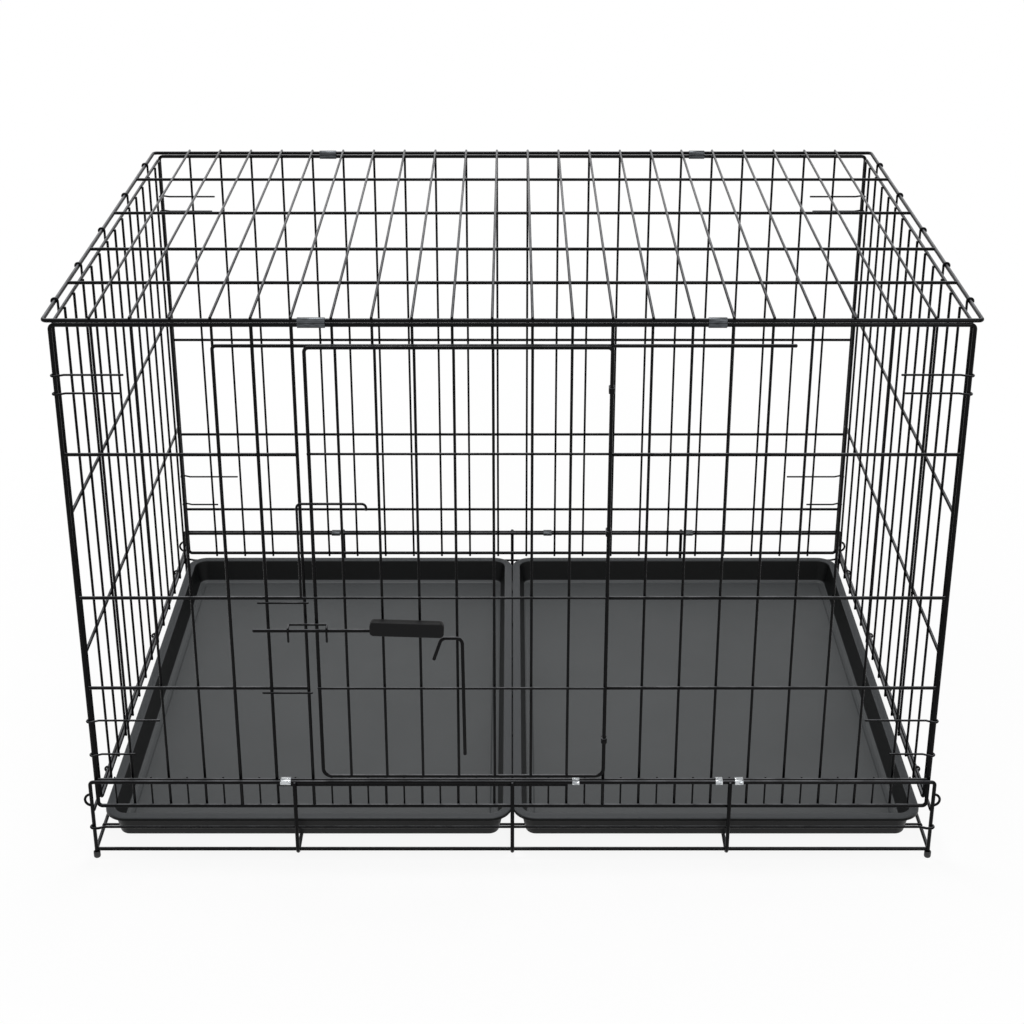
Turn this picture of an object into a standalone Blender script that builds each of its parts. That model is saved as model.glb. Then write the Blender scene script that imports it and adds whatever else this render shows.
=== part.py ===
"""Folding wire dog crate with a side-hung door, a slide-bolt latch, fold-in ends and two pull-out trays.

Units are metres, +Z is up, the door is on the -Y side and the origin is on the floor at the middle.
Every wire panel is a weldment: its rods and wires sink a fraction of a millimetre into each other.
"""

from math import cos, pi, radians, sin

import bmesh
import bpy
from mathutils import Matrix, Vector

# Overall sizes of the standing crate
LENGTH = 1.220
DEPTH = 0.845
FRAME_TOP = 0.835
ROOF_OVERHANG = 0.009

# Wire radii
FRAME_R = 0.0028
END_R = 0.0024
DOOR_R = 0.0025
DOOR_POST_R = 0.00225
UPPER_ROD_R = 0.0024
LOWER_ROD_R = 0.00235
HINGE_BAR_R = 0.0026
WIRE_R = 0.00175
DOOR_BAR_R = 0.0017
MID_ROD_R = 0.0019
THIN_R = 0.0013
CURL_R = 0.0016
FRAME_SIDES = 8
WIRE_SIDES = 4
BEND_STEPS = 2

# How far a wire sinks into the one it is welded to; unlike depths keep their faces apart
FRAME_WELD = 0.0005
UPPER_ROD_WELD = 0.00045
POST_WELD = 0.0004
HINGE_BAR_WELD = 0.00035
WIRE_WELD = 0.0003
LOWER_ROD_WELD = 0.00022

# Clearances; the level bars are welded at their ends and touch the uprights between
BAR_TOUCH = 0.0001
TOUCH = 0.0003
REST_GAP = 0.0004
RUNNING = 0.0003
DOOR_GAP = 0.001
SECTION_GAP = 0.0003

# Wire pattern
LONG_GAPS = 23
END_GAPS = 14
ROOF_BARS = (0.18, 0.36, 0.575, 0.80)
FRONT_BAR_LOW = 0.282
FRONT_BAR_MIDDLE = 0.4256
FRONT_BAR_HIGH = 0.642
BACK_BARS = (0.162, 0.312, 0.494)
END_BARS = (0.334, 0.551)
FRONT_BOTTOM = 0.085
BACK_BOTTOM = 0.072
FRONT_HINGE = 0.129
BACK_HINGE = 0.112
WIRE_TAIL = 0.0045
PANEL_CORNER = 0.006
ROOF_CORNER = 0.006

# Door and its frame rods, as wire numbers counted from the left corner
UPPER_ROD_WIRE = 4
LOWER_ROD_WIRE = 5
LEFT_POST_WIRE = 6
RIGHT_POST_WIRE = 14
UPPER_ROD_DROP = 0.0292
UPPER_ROD_REACH = 0.240
LOWER_ROD_DROP = 0.008
LOWER_ROD_SHORT = 0.052
UPPER_ROD_BEND = 0.005
LOWER_ROD_BEND = 0.005
DOOR_LEFT_GAP = 0.016
DOOR_BOTTOM = 0.140
DOOR_WIRES = 7
DOOR_LEFT_EDGE = 0.040
DOOR_RIGHT_EDGE = 0.0525
DOOR_BEND = 0.012
DOOR_TOP_BEND = 0.006
DOOR_BAR_RISE = 0.0055
DOOR_BAR_TAIL = 0.021

# Door hinges
HINGE_FROM_END = 0.060
HINGE_ABOVE_MIDDLE = 0.060
HINGE_TALL = 0.008
HINGE_WALL = 0.0013
HINGE_SIDES = 10

# Latch
BOLT_R = 0.0024
BOLT_SIDES = 10
BOLT_BELOW_BAR = 0.0401
BOLT_OUT = 0.0135
BOLT_BEFORE_DOOR = 0.087
GRIP_INTO_DOOR = 0.074
GRIP_LENGTH = 0.102
GRIP_TALL = 0.0215
GRIP_IN = 0.0048
GRIP_OUT = 0.0082
GRIP_BELOW = 0.0045
GRIP_ROUND = 0.0045
GRIP_TILT = 2.0
BOLT_IN_GRIP = 0.088
GUIDE_BEFORE_DOOR = 0.038
GUIDE_INTO_DOOR = 0.015
GUIDE_LEG = 0.014
KEEPER_INTO_DOOR = 0.161
KEEPER_WIDE = 0.042
KEEPER_BELOW_BOLT = 0.015
KEEPER_HOOK = 0.0345
KEEPER_FOOT = 0.181
KEEPER_BEND = 0.007
STOP_TALL = 0.149
STOP_INTO_DOOR = 0.074
STOP_BEND = 0.008
STOP_HOOK = 0.010

# Short level wires at the corners, hooked round the side rods, with their lengths
UPPER_CORNER_WIRES = ((0.0702, 0.090), (0.0962, 0.084))
LOWER_CORNER_WIRES = ((0.228, 0.099), (0.172, 0.060))
CORNER_LEAD = 0.012
HAIRPIN_R = 0.0015
TIE_DROP = 0.006
TIE_LEFT = 0.013
TIE_RIGHT = 0.006

# Base
POST_OUT = 0.008
GROUND_HEIGHT = 0.0141
GROUND_R = 0.0027
GROUND_BEND = 0.005
RIM_BEND = 0.005
BAIL_WIRES = (5.5, 11.5, 17.5)
BAIL_BEND = 0.010
BAIL_ABOVE = 0.0025
MID_ROD_HEIGHT = 0.053
SIDE_RIM_HEIGHT = 0.082
SIDE_RIM_IN = 0.002
SEAM_IN = 0.0063
FLOOR_LONG_WIRES = 7
FLOOR_LONG_PITCH = 0.120
LOOP_DROP = 0.030
LOOP_R = 0.010

# Feet
FOOT_R = 0.005
FOOT_TALL = 0.0105
FOOT_FLAT_R = 0.0032
FOOT_SOLE = 0.0032
FOOT_STEPS = 12

# End panels
END_INSET = 0.0012
END_SIDE_GAP = 0.0043
END_ABOVE_RIM = 0.006
END_BELOW_PANELS = 0.0012
END_CORNER = 0.010
CURL_WIRES = (1.5, 5.5, 8.5, 12.5)
CURL_TURN = 300

# Roof hooks over the side rods
HOOK_START = -15
HOOK_END = 150

# Sheet-metal clips: wire numbers that they sit at, and widths
CLIP_WALL = 0.001
ROOF_CLIPS_FRONT = ((6.5, 0.036), (16.6, 0.024))
ROOF_CLIPS_BACK = ((5.5, 0.028), (17.5, 0.026))
BASE_CLIPS_FRONT = ((5.25, 0.015), (13.25, 0.010), (17.2, 0.010), (17.75, 0.012))
BASE_CLIPS_BACK = ((5.25, 0.015), (12.75, 0.015), (17.75, 0.015))

# Trays
TRAY_END_GAP = 0.010
TRAY_MIDDLE_GAP = 0.0006
TRAY_SIDE_GAP = 0.0037
TRAY_TALL = 0.043
TRAY_CORNER = 0.034
TRAY_CORNER_STEPS = 4
TRAY_WALL = 0.0025
TRAY_LIP = 0.006
TRAY_FLANGE = 0.013
TRAY_DRAFT = 0.009
TRAY_FILLET = 0.005
TRAY_FIELD = 0.009
TRAY_FIELD_RISE = 0.0012

# Places worked out from the sizes above
ROOF_X = LENGTH / 2 - FRAME_R
ROOF_Z = FRAME_TOP - FRAME_R
PANEL_X = ROOF_X - ROOF_OVERHANG
PANEL_TOP = ROOF_Z - 2 * FRAME_R - REST_GAP
BAIL_Y = DEPTH / 2 - FRAME_R
BASE_Y = BAIL_Y - (2 * FRAME_R - REST_GAP)
PANEL_Y = BASE_Y - (2 * FRAME_R + REST_GAP)
MESH_Y = PANEL_Y - (FRAME_R + WIRE_R - FRAME_WELD)
PITCH = 2 * PANEL_X / LONG_GAPS
LEFT_POST_X = -PANEL_X + LEFT_POST_WIRE * PITCH
RIGHT_POST_X = -PANEL_X + RIGHT_POST_WIRE * PITCH
DOOR_LEFT = LEFT_POST_X + DOOR_LEFT_GAP
DOOR_RIGHT = RIGHT_POST_X
DOOR_TOP = PANEL_TOP - UPPER_ROD_DROP
DOOR_Y = -(PANEL_Y + FRAME_R + DOOR_R + DOOR_GAP)
DOOR_BAR_Y = DOOR_Y - (WIRE_R + DOOR_BAR_R + BAR_TOUCH)
DOOR_AXIS = Vector((DOOR_RIGHT, DOOR_Y, 0))
BOLT_Y = DOOR_Y - BOLT_OUT
BOLT_HEIGHT = FRONT_BAR_MIDDLE - BOLT_BELOW_BAR
KEEPER_TOP = BOLT_HEIGHT - KEEPER_BELOW_BOLT
BOLT_AXIS = Vector((DOOR_LEFT + GRIP_INTO_DOOR, BOLT_Y, BOLT_HEIGHT))
POST_X = PANEL_X + POST_OUT
SIDE_RIM_X = POST_X - SIDE_RIM_IN
END_X = PANEL_X - END_INSET
END_HALF = MESH_Y - WIRE_R - END_R - END_SIDE_GAP
END_LOW = SIDE_RIM_HEIGHT + END_ABOVE_RIM
END_HIGH = PANEL_TOP - END_BELOW_PANELS
BAIL_Z = GROUND_HEIGHT - (FRAME_R + GROUND_R - FRAME_WELD)
SEAM_Y = BASE_Y - SEAM_IN
FLOOR_LONG_Z = GROUND_HEIGHT + GROUND_R + WIRE_R - FRAME_WELD
TRAY_Z = FLOOR_LONG_Z + WIRE_R + TOUCH

X = Vector((1, 0, 0))
Y = Vector((0, 1, 0))
Z = Vector((0, 0, 1))


def plane_y(radius, weld):
    """Distance from the middle of a rod that is welded to the outside of the upright wires."""
    return MESH_Y + WIRE_R - weld + radius


def wire_x(number):
    return -PANEL_X + number * PITCH


def rounded(points, radius, closed=False, steps=BEND_STEPS):
    """The corners of a flat path, each replaced by an arc of the given radius."""
    corners = [Vector(p) for p in points]
    path = []
    for i, corner in enumerate(corners):
        if not closed and i in (0, len(corners) - 1):
            path.append(corner)
            continue
        back = (corners[i - 1] - corner).normalized()
        ahead = (corners[(i + 1) % len(corners)] - corner).normalized()
        half = back.angle(ahead) / 2
        centre = corner + (back + ahead).normalized() * (radius / sin(half))
        reach = radius * cos(half) / sin(half)
        first = corner + back * reach - centre
        last = corner + ahead * reach - centre
        turn = first.angle(last)
        for step in range(steps + 1):
            share = step / steps
            mixed = first * sin((1 - share) * turn) + last * sin(share * turn)
            path.append(centre + mixed / sin(turn))
    return path


def arc(centre, radius, start, end, steps, across, up):
    """Points of an arc in the plane of two unit directions, with its angles in degrees."""
    points = []
    for step in range(steps + 1):
        angle = radians(start + (end - start) * step / steps)
        points.append(Vector(centre) + radius * (cos(angle) * across + sin(angle) * up))
    return points


def rod(shape, path, radius, normal, sides=WIRE_SIDES, closed=False):
    """A mitred rod along a flat path, with one edge of its section turned towards the normal."""
    points = [Vector(p) for p in path]
    count = len(points)
    rings = []
    for i, point in enumerate(points):
        before = (point - points[i - 1]) if i or closed else (points[1] - point)
        after = (points[(i + 1) % count] - point) if i < count - 1 or closed else before
        before.normalize()
        after.normalize()
        along = (before + after).normalized()
        beside = normal.cross(along)
        stretch = 1 / before.dot(along)
        ring = []
        for k in range(sides):
            angle = 2 * pi * k / sides
            offset = cos(angle) * normal + sin(angle) * stretch * beside
            ring.append(shape.verts.new(point + radius * offset))
        rings.append(ring)
    pairs = list(zip(rings, rings[1:]))
    if closed:
        pairs.append((rings[-1], rings[0]))
    else:
        shape.faces.new(rings[0])
        shape.faces.new(reversed(rings[-1]))
    for near, far in pairs:
        for k in range(sides):
            after = (k + 1) % sides
            shape.faces.new((near[k], far[k], far[after], near[after]))


def turned(shape, profile, centre, axis, across, steps):
    """A closed ring of faces made by turning (radius, height) points round an axis."""
    side = axis.cross(across)
    rings = []
    for step in range(steps):
        angle = 2 * pi * step / steps
        out = cos(angle) * across + sin(angle) * side
        rings.append([shape.verts.new(Vector(centre) + r * out + h * axis) for r, h in profile])
    for i, near in enumerate(rings):
        far = rings[(i + 1) % steps]
        for k in range(len(profile) - 1):
            shape.faces.new((near[k], far[k], far[k + 1], near[k + 1]))
    shape.faces.new([ring[0] for ring in reversed(rings)])
    shape.faces.new([ring[-1] for ring in rings])


def material(name, colour, roughness, metallic=0.0):
    made = bpy.data.materials.new(name)
    made.use_nodes = True
    shader = made.node_tree.nodes["Principled BSDF"]
    shader.inputs["Base Color"].default_value = (*colour, 1)
    shader.inputs["Roughness"].default_value = roughness
    shader.inputs["Metallic"].default_value = metallic
    return made


def black_coat(name):
    return material(name, (0.012, 0.012, 0.013), 0.38)


def bright_zinc(name):
    return material(name, (0.55, 0.56, 0.57), 0.32, 1.0)


def dark_zinc(name):
    return material(name, (0.06, 0.062, 0.065), 0.42, 1.0)


def finished(name, shape):
    """A bmesh turned into an object whose faces point outwards."""
    bmesh.ops.recalc_face_normals(shape, faces=shape.faces)
    mesh = bpy.data.meshes.new(name)
    shape.to_mesh(mesh)
    shape.free()
    made = bpy.data.objects.new(name, mesh)
    bpy.context.scene.collection.objects.link(made)
    return made


def combined(name, first, others, operation="UNION"):
    """The first shape with the others joined to it, or cut from it, one after the other."""
    made = finished(name, first)
    helpers = []
    for shape in others:
        helper = finished(name + "_helper", shape)
        helper.hide_render = True
        helper.display_type = "WIRE"
        step = made.modifiers.new("join", "BOOLEAN")
        step.operation = operation
        step.solver = "EXACT"
        step.object = helper
        helpers.append(helper)
    graph = bpy.context.evaluated_depsgraph_get()
    mesh = bpy.data.meshes.new_from_object(made.evaluated_get(graph))
    made.modifiers.clear()
    made.data = mesh
    for helper in helpers:
        bpy.data.objects.remove(helper)
    return made


def dressed(made, finish, origin=None, smooth=35):
    """Gives an object its material, smooth round faces and, for a moving piece, its axis as origin."""
    made.data.materials.clear()
    made.data.materials.append(finish)
    made.data.shade_smooth()
    made.data.set_sharp_from_angle(angle=radians(smooth))
    if origin is not None:
        made.data.transform(Matrix.Translation(-Vector(origin)))
        made.location = origin
    return made


def corner_wire(shape, side, front, height, length):
    """A short level wire whose outer end steps out and hooks round the panel's side rod."""
    y = front * plane_y(HAIRPIN_R, WIRE_WELD)
    path = [Vector((side * (PANEL_X - length), y, height))]
    path.append(Vector((side * (PANEL_X - CORNER_LEAD), y, height)))
    centre = (side * PANEL_X, front * PANEL_Y, height)
    path += arc(centre, FRAME_R + HAIRPIN_R + BAR_TOUCH, 90, -120, 5, side * X, front * Y)
    rod(shape, path, HAIRPIN_R, Z)


def long_panel_frame(front, bottom):
    frame = bmesh.new()
    y = front * PANEL_Y
    corners = (
        (-PANEL_X, y, bottom),
        (PANEL_X, y, bottom),
        (PANEL_X, y, PANEL_TOP),
        (-PANEL_X, y, PANEL_TOP),
    )
    rod(frame, rounded(corners, PANEL_CORNER, closed=True), FRAME_R, Y, FRAME_SIDES, closed=True)
    return frame


def half_pitch_wires(shape):
    """Thin wires between the uprights in the low band, where small paws could slip through."""
    y = -(MESH_Y + WIRE_R - THIN_R)
    for gap in range(LONG_GAPS):
        x = wire_x(gap + 0.5)
        ends = ((x, y, FRONT_BOTTOM - WIRE_TAIL), (x, y, FRONT_HINGE + FRAME_R))
        rod(shape, ends, THIN_R, Y)


def level_wires(front, heights, spans, hinge):
    """Level bars, the thicker bar that the clips turn on, and the hooked wires at the corners."""
    shape = bmesh.new()
    y = front * plane_y(WIRE_R, -BAR_TOUCH)
    for z in heights:
        for left, right in spans:
            rod(shape, ((left, y, z), (right, y, z)), WIRE_R, Y)
    y = front * plane_y(HINGE_BAR_R, HINGE_BAR_WELD)
    rod(shape, ((-PANEL_X, y, hinge), (PANEL_X, y, hinge)), HINGE_BAR_R, Y, FRAME_SIDES)
    wires = [(PANEL_TOP - drop, length) for drop, length in UPPER_CORNER_WIRES]
    wires += LOWER_CORNER_WIRES
    for side in (-1, 1):
        for height, length in wires:
            corner_wire(shape, side, front, height, length)
    return shape


def front_uprights():
    """Upright wires, interrupted where the door opening and its frame rods take their place."""
    shape = bmesh.new()
    y = -MESH_Y
    low = FRONT_BOTTOM - WIRE_TAIL
    high = PANEL_TOP + FRAME_R / 2
    for number in range(1, LONG_GAPS):
        x = wire_x(number)
        if number in (LEFT_POST_WIRE, RIGHT_POST_WIRE):
            continue
        over_door = LEFT_POST_WIRE < number < RIGHT_POST_WIRE
        if over_door or number == UPPER_ROD_WIRE:
            start = DOOR_TOP - 2 * WIRE_R
            rod(shape, ((x, y, start), (x, y, high)), WIRE_R, Y)
        if over_door or number == LOWER_ROD_WIRE:
            rod(shape, ((x, y, low), (x, y, FRONT_HINGE + HINGE_BAR_R)), WIRE_R, Y)
        if not over_door and number not in (UPPER_ROD_WIRE, LOWER_ROD_WIRE):
            rod(shape, ((x, y, low), (x, y, high)), WIRE_R, Y)
    half_pitch_wires(shape)
    return shape


def upper_door_rod():
    shape = bmesh.new()
    y = -plane_y(UPPER_ROD_R, UPPER_ROD_WELD)
    x = wire_x(UPPER_ROD_WIRE)
    end = RIGHT_POST_X + UPPER_ROD_REACH
    corners = ((x, y, FRONT_BOTTOM), (x, y, DOOR_TOP), (end, y, DOOR_TOP))
    rod(shape, rounded(corners, UPPER_ROD_BEND), UPPER_ROD_R, Y, FRAME_SIDES)
    return shape


def lower_door_rod():
    shape = bmesh.new()
    y = -plane_y(LOWER_ROD_R, LOWER_ROD_WELD)
    x = wire_x(LOWER_ROD_WIRE)
    z = FRONT_HINGE - LOWER_ROD_DROP
    corners = ((x, y, PANEL_TOP), (x, y, z), (RIGHT_POST_X - LOWER_ROD_SHORT, y, z))
    rod(shape, rounded(corners, LOWER_ROD_BEND), LOWER_ROD_R, Y, FRAME_SIDES)
    return shape


def door_posts():
    shape = bmesh.new()
    y = -plane_y(DOOR_POST_R, POST_WELD)
    for x in (LEFT_POST_X, RIGHT_POST_X):
        rod(shape, ((x, y, FRONT_BOTTOM), (x, y, PANEL_TOP)), DOOR_POST_R, Y, FRAME_SIDES)
    return shape


def post_ties():
    """Two short wires that brace the left door post against the rod beside it."""
    shape = bmesh.new()
    y = -(plane_y(DOOR_POST_R, POST_WELD) + DOOR_POST_R + HAIRPIN_R - WIRE_WELD)
    left = wire_x(LOWER_ROD_WIRE) - TIE_LEFT
    right = LEFT_POST_X + TIE_RIGHT
    for height in (FRONT_BAR_LOW, FRONT_BAR_MIDDLE):
        z = height - TIE_DROP
        rod(shape, ((left, y, z), (right, y, z)), HAIRPIN_R, Y)
    return shape


def front_section(name, whole, left, right, low, high):
    """The part of the front grille inside a box that is given by its sides in X and Z."""
    shape = bmesh.new()
    shape.from_mesh(whole.data)
    box = bmesh.new()
    bmesh.ops.create_cube(box, size=1)
    bmesh.ops.scale(box, verts=box.verts, vec=(right - left, 4 * DOOR_GAP + 8 * FRAME_R, high - low))
    middle = ((left + right) / 2, -PANEL_Y, (low + high) / 2)
    bmesh.ops.translate(box, verts=box.verts, vec=middle)
    made = combined(name, shape, (box,), "INTERSECT")
    dressed(made, black_coat(name + "_coat"))


def make_front_panel():
    """The front grille, in four flat sections round the door opening whose rods meet end to end."""
    spans = ((-PANEL_X, LEFT_POST_X), (RIGHT_POST_X, PANEL_X))
    heights = (FRONT_BAR_LOW, FRONT_BAR_MIDDLE, FRONT_BAR_HIGH)
    bars = level_wires(-1, heights, spans, FRONT_HINGE)
    rods = (front_uprights(), bars, upper_door_rod(), lower_door_rod(), door_posts(), post_ties())
    whole = combined("front_grille", long_panel_frame(-1, FRONT_BOTTOM), rods)
    left = LEFT_POST_X + TIE_RIGHT + SECTION_GAP
    right = RIGHT_POST_X - DOOR_POST_R - SECTION_GAP
    halfway = (DOOR_BOTTOM + DOOR_TOP) / 2
    front_section("front_left_section", whole, -LENGTH, left, 0, LENGTH)
    front_section("front_right_section", whole, right, LENGTH, 0, LENGTH)
    left += SECTION_GAP
    right -= SECTION_GAP
    front_section("front_sill_section", whole, left, right, 0, halfway)
    front_section("front_header_section", whole, left, right, halfway, LENGTH)
    bpy.data.objects.remove(whole)


def make_back_panel():
    uprights = bmesh.new()
    for number in range(1, LONG_GAPS):
        x = wire_x(number)
        low = (x, MESH_Y, BACK_BOTTOM - WIRE_TAIL)
        rod(uprights, (low, (x, MESH_Y, PANEL_TOP + FRAME_R / 2)), WIRE_R, Y)
    bars = level_wires(1, BACK_BARS, ((-PANEL_X, PANEL_X),), BACK_HINGE)
    made = combined("back_panel", long_panel_frame(1, BACK_BOTTOM), (uprights, bars))
    dressed(made, black_coat("back_panel_coat"))


def make_top_panel():
    frame = bmesh.new()
    corners = ((-ROOF_X, -PANEL_Y, ROOF_Z), (ROOF_X, -PANEL_Y, ROOF_Z))
    corners += ((ROOF_X, PANEL_Y, ROOF_Z), (-ROOF_X, PANEL_Y, ROOF_Z))
    rod(frame, rounded(corners, ROOF_CORNER, closed=True), FRAME_R, Z, FRAME_SIDES, closed=True)
    cross_z = ROOF_Z + FRAME_R + WIRE_R - FRAME_WELD
    cross = bmesh.new()
    for number in range(1, LONG_GAPS):
        x = wire_x(number)
        reach = PANEL_Y + FRAME_R
        rod(cross, ((x, -reach, cross_z), (x, reach, cross_z)), WIRE_R, Z)
    long_z = cross_z - (2 * WIRE_R + BAR_TOUCH)
    bars = bmesh.new()
    places = [(2 * share - 1) * PANEL_Y for share in ROOF_BARS]
    for y in places:
        rod(bars, ((-ROOF_X, y, long_z), (ROOF_X, y, long_z)), WIRE_R, Z)
    hooks = bmesh.new()
    edges = [-PANEL_Y] + places + [PANEL_Y]
    for near, far in zip(edges, edges[1:]):
        for side in (-1, 1):
            centre = (side * ROOF_X, (near + far) / 2, ROOF_Z)
            radius = FRAME_R + WIRE_R - UPPER_ROD_WELD
            path = arc(centre, radius, HOOK_START, HOOK_END, 4, side * X, Z)
            path.append(path[-1] - side * X * 2 * WIRE_R)
            rod(hooks, path, WIRE_R, Y)
    made = combined("top_panel", frame, (cross, bars, hooks))
    dressed(made, black_coat("top_panel_coat"))


def make_end_panel(name, side):
    """One end grille; its low curls turn round the side rim rod of the base."""
    x = side * END_X
    mesh_x = x - side * (END_R + WIRE_R - FRAME_WELD)
    bar_x = mesh_x + side * (2 * WIRE_R + BAR_TOUCH)
    frame = bmesh.new()
    corners = ((x, -END_HALF, END_LOW), (x, END_HALF, END_LOW))
    corners += ((x, END_HALF, END_HIGH), (x, -END_HALF, END_HIGH))
    rod(frame, rounded(corners, END_CORNER, closed=True), END_R, X, FRAME_SIDES, closed=True)
    uprights = bmesh.new()
    pitch = 2 * END_HALF / END_GAPS
    for number in range(1, END_GAPS):
        y = -END_HALF + number * pitch
        low = (mesh_x, y, END_LOW - END_R)
        rod(uprights, (low, (mesh_x, y, END_HIGH + END_R / 2)), WIRE_R, X)
    bars = bmesh.new()
    for z in END_BARS:
        rod(bars, ((bar_x, -END_HALF, z), (bar_x, END_HALF, z)), WIRE_R, X)
    curls = bmesh.new()
    axis = Vector((side * SIDE_RIM_X, 0, SIDE_RIM_HEIGHT))
    tail = Vector((x, 0, END_LOW)) - axis
    start = Vector((1, 0, 0)).angle(Vector((-side * tail.x, 0, tail.z)))
    start = start * 180 / pi
    radius = END_R + REST_GAP + CURL_R
    for number in CURL_WIRES:
        centre = axis + (-END_HALF + number * pitch) * Y
        ring = arc(centre, radius, start, start + CURL_TURN, 8, -side * X, Z)
        rod(curls, [centre + tail] + ring, CURL_R, Y)
    made = combined(name, frame, (uprights, bars, curls))
    dressed(made, black_coat(name + "_coat"), axis)


def make_door():
    halfway = (DOOR_BOTTOM + DOOR_TOP) / 2
    frame = bmesh.new()
    path = []
    for left, right, end, bend in (
        (DOOR_LEFT, DOOR_RIGHT, DOOR_BOTTOM, DOOR_BEND),
        (DOOR_RIGHT, DOOR_LEFT, DOOR_TOP, DOOR_TOP_BEND),
    ):
        corners = ((left, DOOR_Y, halfway), (left, DOOR_Y, end))
        corners += ((right, DOOR_Y, end), (right, DOOR_Y, halfway))
        path += rounded(corners, bend)[:-1]
    rod(frame, path, DOOR_R, Y, FRAME_SIDES, closed=True)
    uprights = bmesh.new()
    span = DOOR_RIGHT - DOOR_LEFT - DOOR_LEFT_EDGE - DOOR_RIGHT_EDGE
    for number in range(DOOR_WIRES):
        x = DOOR_LEFT + DOOR_LEFT_EDGE + span * number / (DOOR_WIRES - 1)
        rod(uprights, ((x, DOOR_Y, DOOR_BOTTOM), (x, DOOR_Y, DOOR_TOP)), WIRE_R, Y)
    bars = bmesh.new()
    for z in (FRONT_BAR_LOW, FRONT_BAR_MIDDLE, FRONT_BAR_HIGH):
        left = DOOR_LEFT - (DOOR_BAR_TAIL if z == FRONT_BAR_MIDDLE else DOOR_R)
        height = z + DOOR_BAR_RISE
        ends = ((left, DOOR_BAR_Y, height), (DOOR_RIGHT - DOOR_BAR_R / 2, DOOR_BAR_Y, height))
        rod(bars, ends, DOOR_BAR_R, Y)
    made = combined("front_door", frame, (uprights, bars))
    dressed(made, black_coat("front_door_coat"), DOOR_AXIS)


def make_door_hinges():
    """Bent sheet links that hold the door's right rod against the right door post."""
    post_y = -plane_y(DOOR_POST_R, POST_WELD)
    door_rod = Vector((DOOR_RIGHT, DOOR_Y, 0))
    post = Vector((RIGHT_POST_X, post_y, 0))
    middle_z = (DOOR_BOTTOM + DOOR_TOP) / 2 + HINGE_ABOVE_MIDDLE
    for name, z in (
        ("door_hinge_lower", DOOR_BOTTOM + HINGE_FROM_END),
        ("door_hinge_middle", middle_z),
        ("door_hinge_upper", DOOR_TOP - HINGE_FROM_END),
    ):
        low = (z - HINGE_TALL / 2) * Z
        high = (z + HINGE_TALL / 2) * Z
        body = bmesh.new()
        holes = bmesh.new()
        second = bmesh.new()
        web = bmesh.new()
        for shape, middle, inner in ((body, door_rod, DOOR_R), (second, post, DOOR_POST_R)):
            outer = inner + RUNNING + HINGE_WALL
            rod(shape, (middle + low, middle + high), outer, X, HINGE_SIDES)
            ends = (middle + low - HINGE_WALL * Z, middle + high + HINGE_WALL * Z)
            rod(holes, ends, (inner + RUNNING) / cos(pi / HINGE_SIDES), X, HINGE_SIDES)
        across = (post - door_rod).normalized()
        inset = across * (DOOR_R + RUNNING + HINGE_WALL / 2)
        beside = Z.cross(across) * HINGE_WALL
        ring = []
        for level in (low * 1.001, high * 0.999):
            start = door_rod + inset + level
            stop = post - inset + level
            ring.append([start - beside, stop - beside, stop + beside, start + beside])
        corners = [[web.verts.new(p) for p in loop] for loop in ring]
        web.faces.new(reversed(corners[0]))
        web.faces.new(corners[1])
        for k in range(4):
            after = (k + 1) % 4
            web.faces.new((corners[0][k], corners[0][after], corners[1][after], corners[1][k]))
        made = combined(name, body, (second, web))
        cutter = finished(name + "_holes", holes)
        cut = made.modifiers.new("holes", "BOOLEAN")
        cut.operation = "DIFFERENCE"
        cut.object = cutter
        cutter.hide_render = True
        cutter.display_type = "WIRE"
        dressed(made, black_coat(name + "_coat"))


def make_latch_bolt():
    shape = bmesh.new()
    start = Vector((DOOR_LEFT - BOLT_BEFORE_DOOR, BOLT_Y, BOLT_HEIGHT))
    rod(shape, (start, BOLT_AXIS + BOLT_IN_GRIP * X), BOLT_R, Z, BOLT_SIDES)
    dressed(finished("latch_bolt", shape), black_coat("latch_bolt_coat"), BOLT_AXIS)


def make_latch_grip():
    """The moulded grip, tilted a little, with a blind bore for the bolt."""
    shape = bmesh.new()
    bmesh.ops.create_cube(shape, size=1)
    size = (GRIP_LENGTH, GRIP_IN + GRIP_OUT, GRIP_TALL)
    bmesh.ops.scale(shape, verts=shape.verts, vec=size)
    middle = (GRIP_LENGTH / 2, (GRIP_IN - GRIP_OUT) / 2, GRIP_TALL / 2 - GRIP_BELOW)
    bmesh.ops.translate(shape, verts=shape.verts, vec=middle)
    bmesh.ops.bevel(
        shape, geom=shape.edges[:], offset=GRIP_ROUND, segments=3, profile=0.5, affect="EDGES"
    )
    tilt = Matrix.Rotation(radians(GRIP_TILT), 3, "Y")
    bmesh.ops.rotate(shape, verts=shape.verts, cent=(0, 0, 0), matrix=tilt)
    bmesh.ops.translate(shape, verts=shape.verts, vec=BOLT_AXIS)
    bore = bmesh.new()
    start = BOLT_AXIS - GRIP_ROUND * X
    stop = BOLT_AXIS + (BOLT_IN_GRIP + TOUCH) * X
    rod(bore, (start, stop), (BOLT_R + RUNNING) / cos(pi / BOLT_SIDES), Z, BOLT_SIDES)
    made = combined("latch_grip", shape, (bore,), "DIFFERENCE")
    dressed(made, material("latch_grip_rubber", (0.02, 0.02, 0.021), 0.55), BOLT_AXIS)


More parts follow.
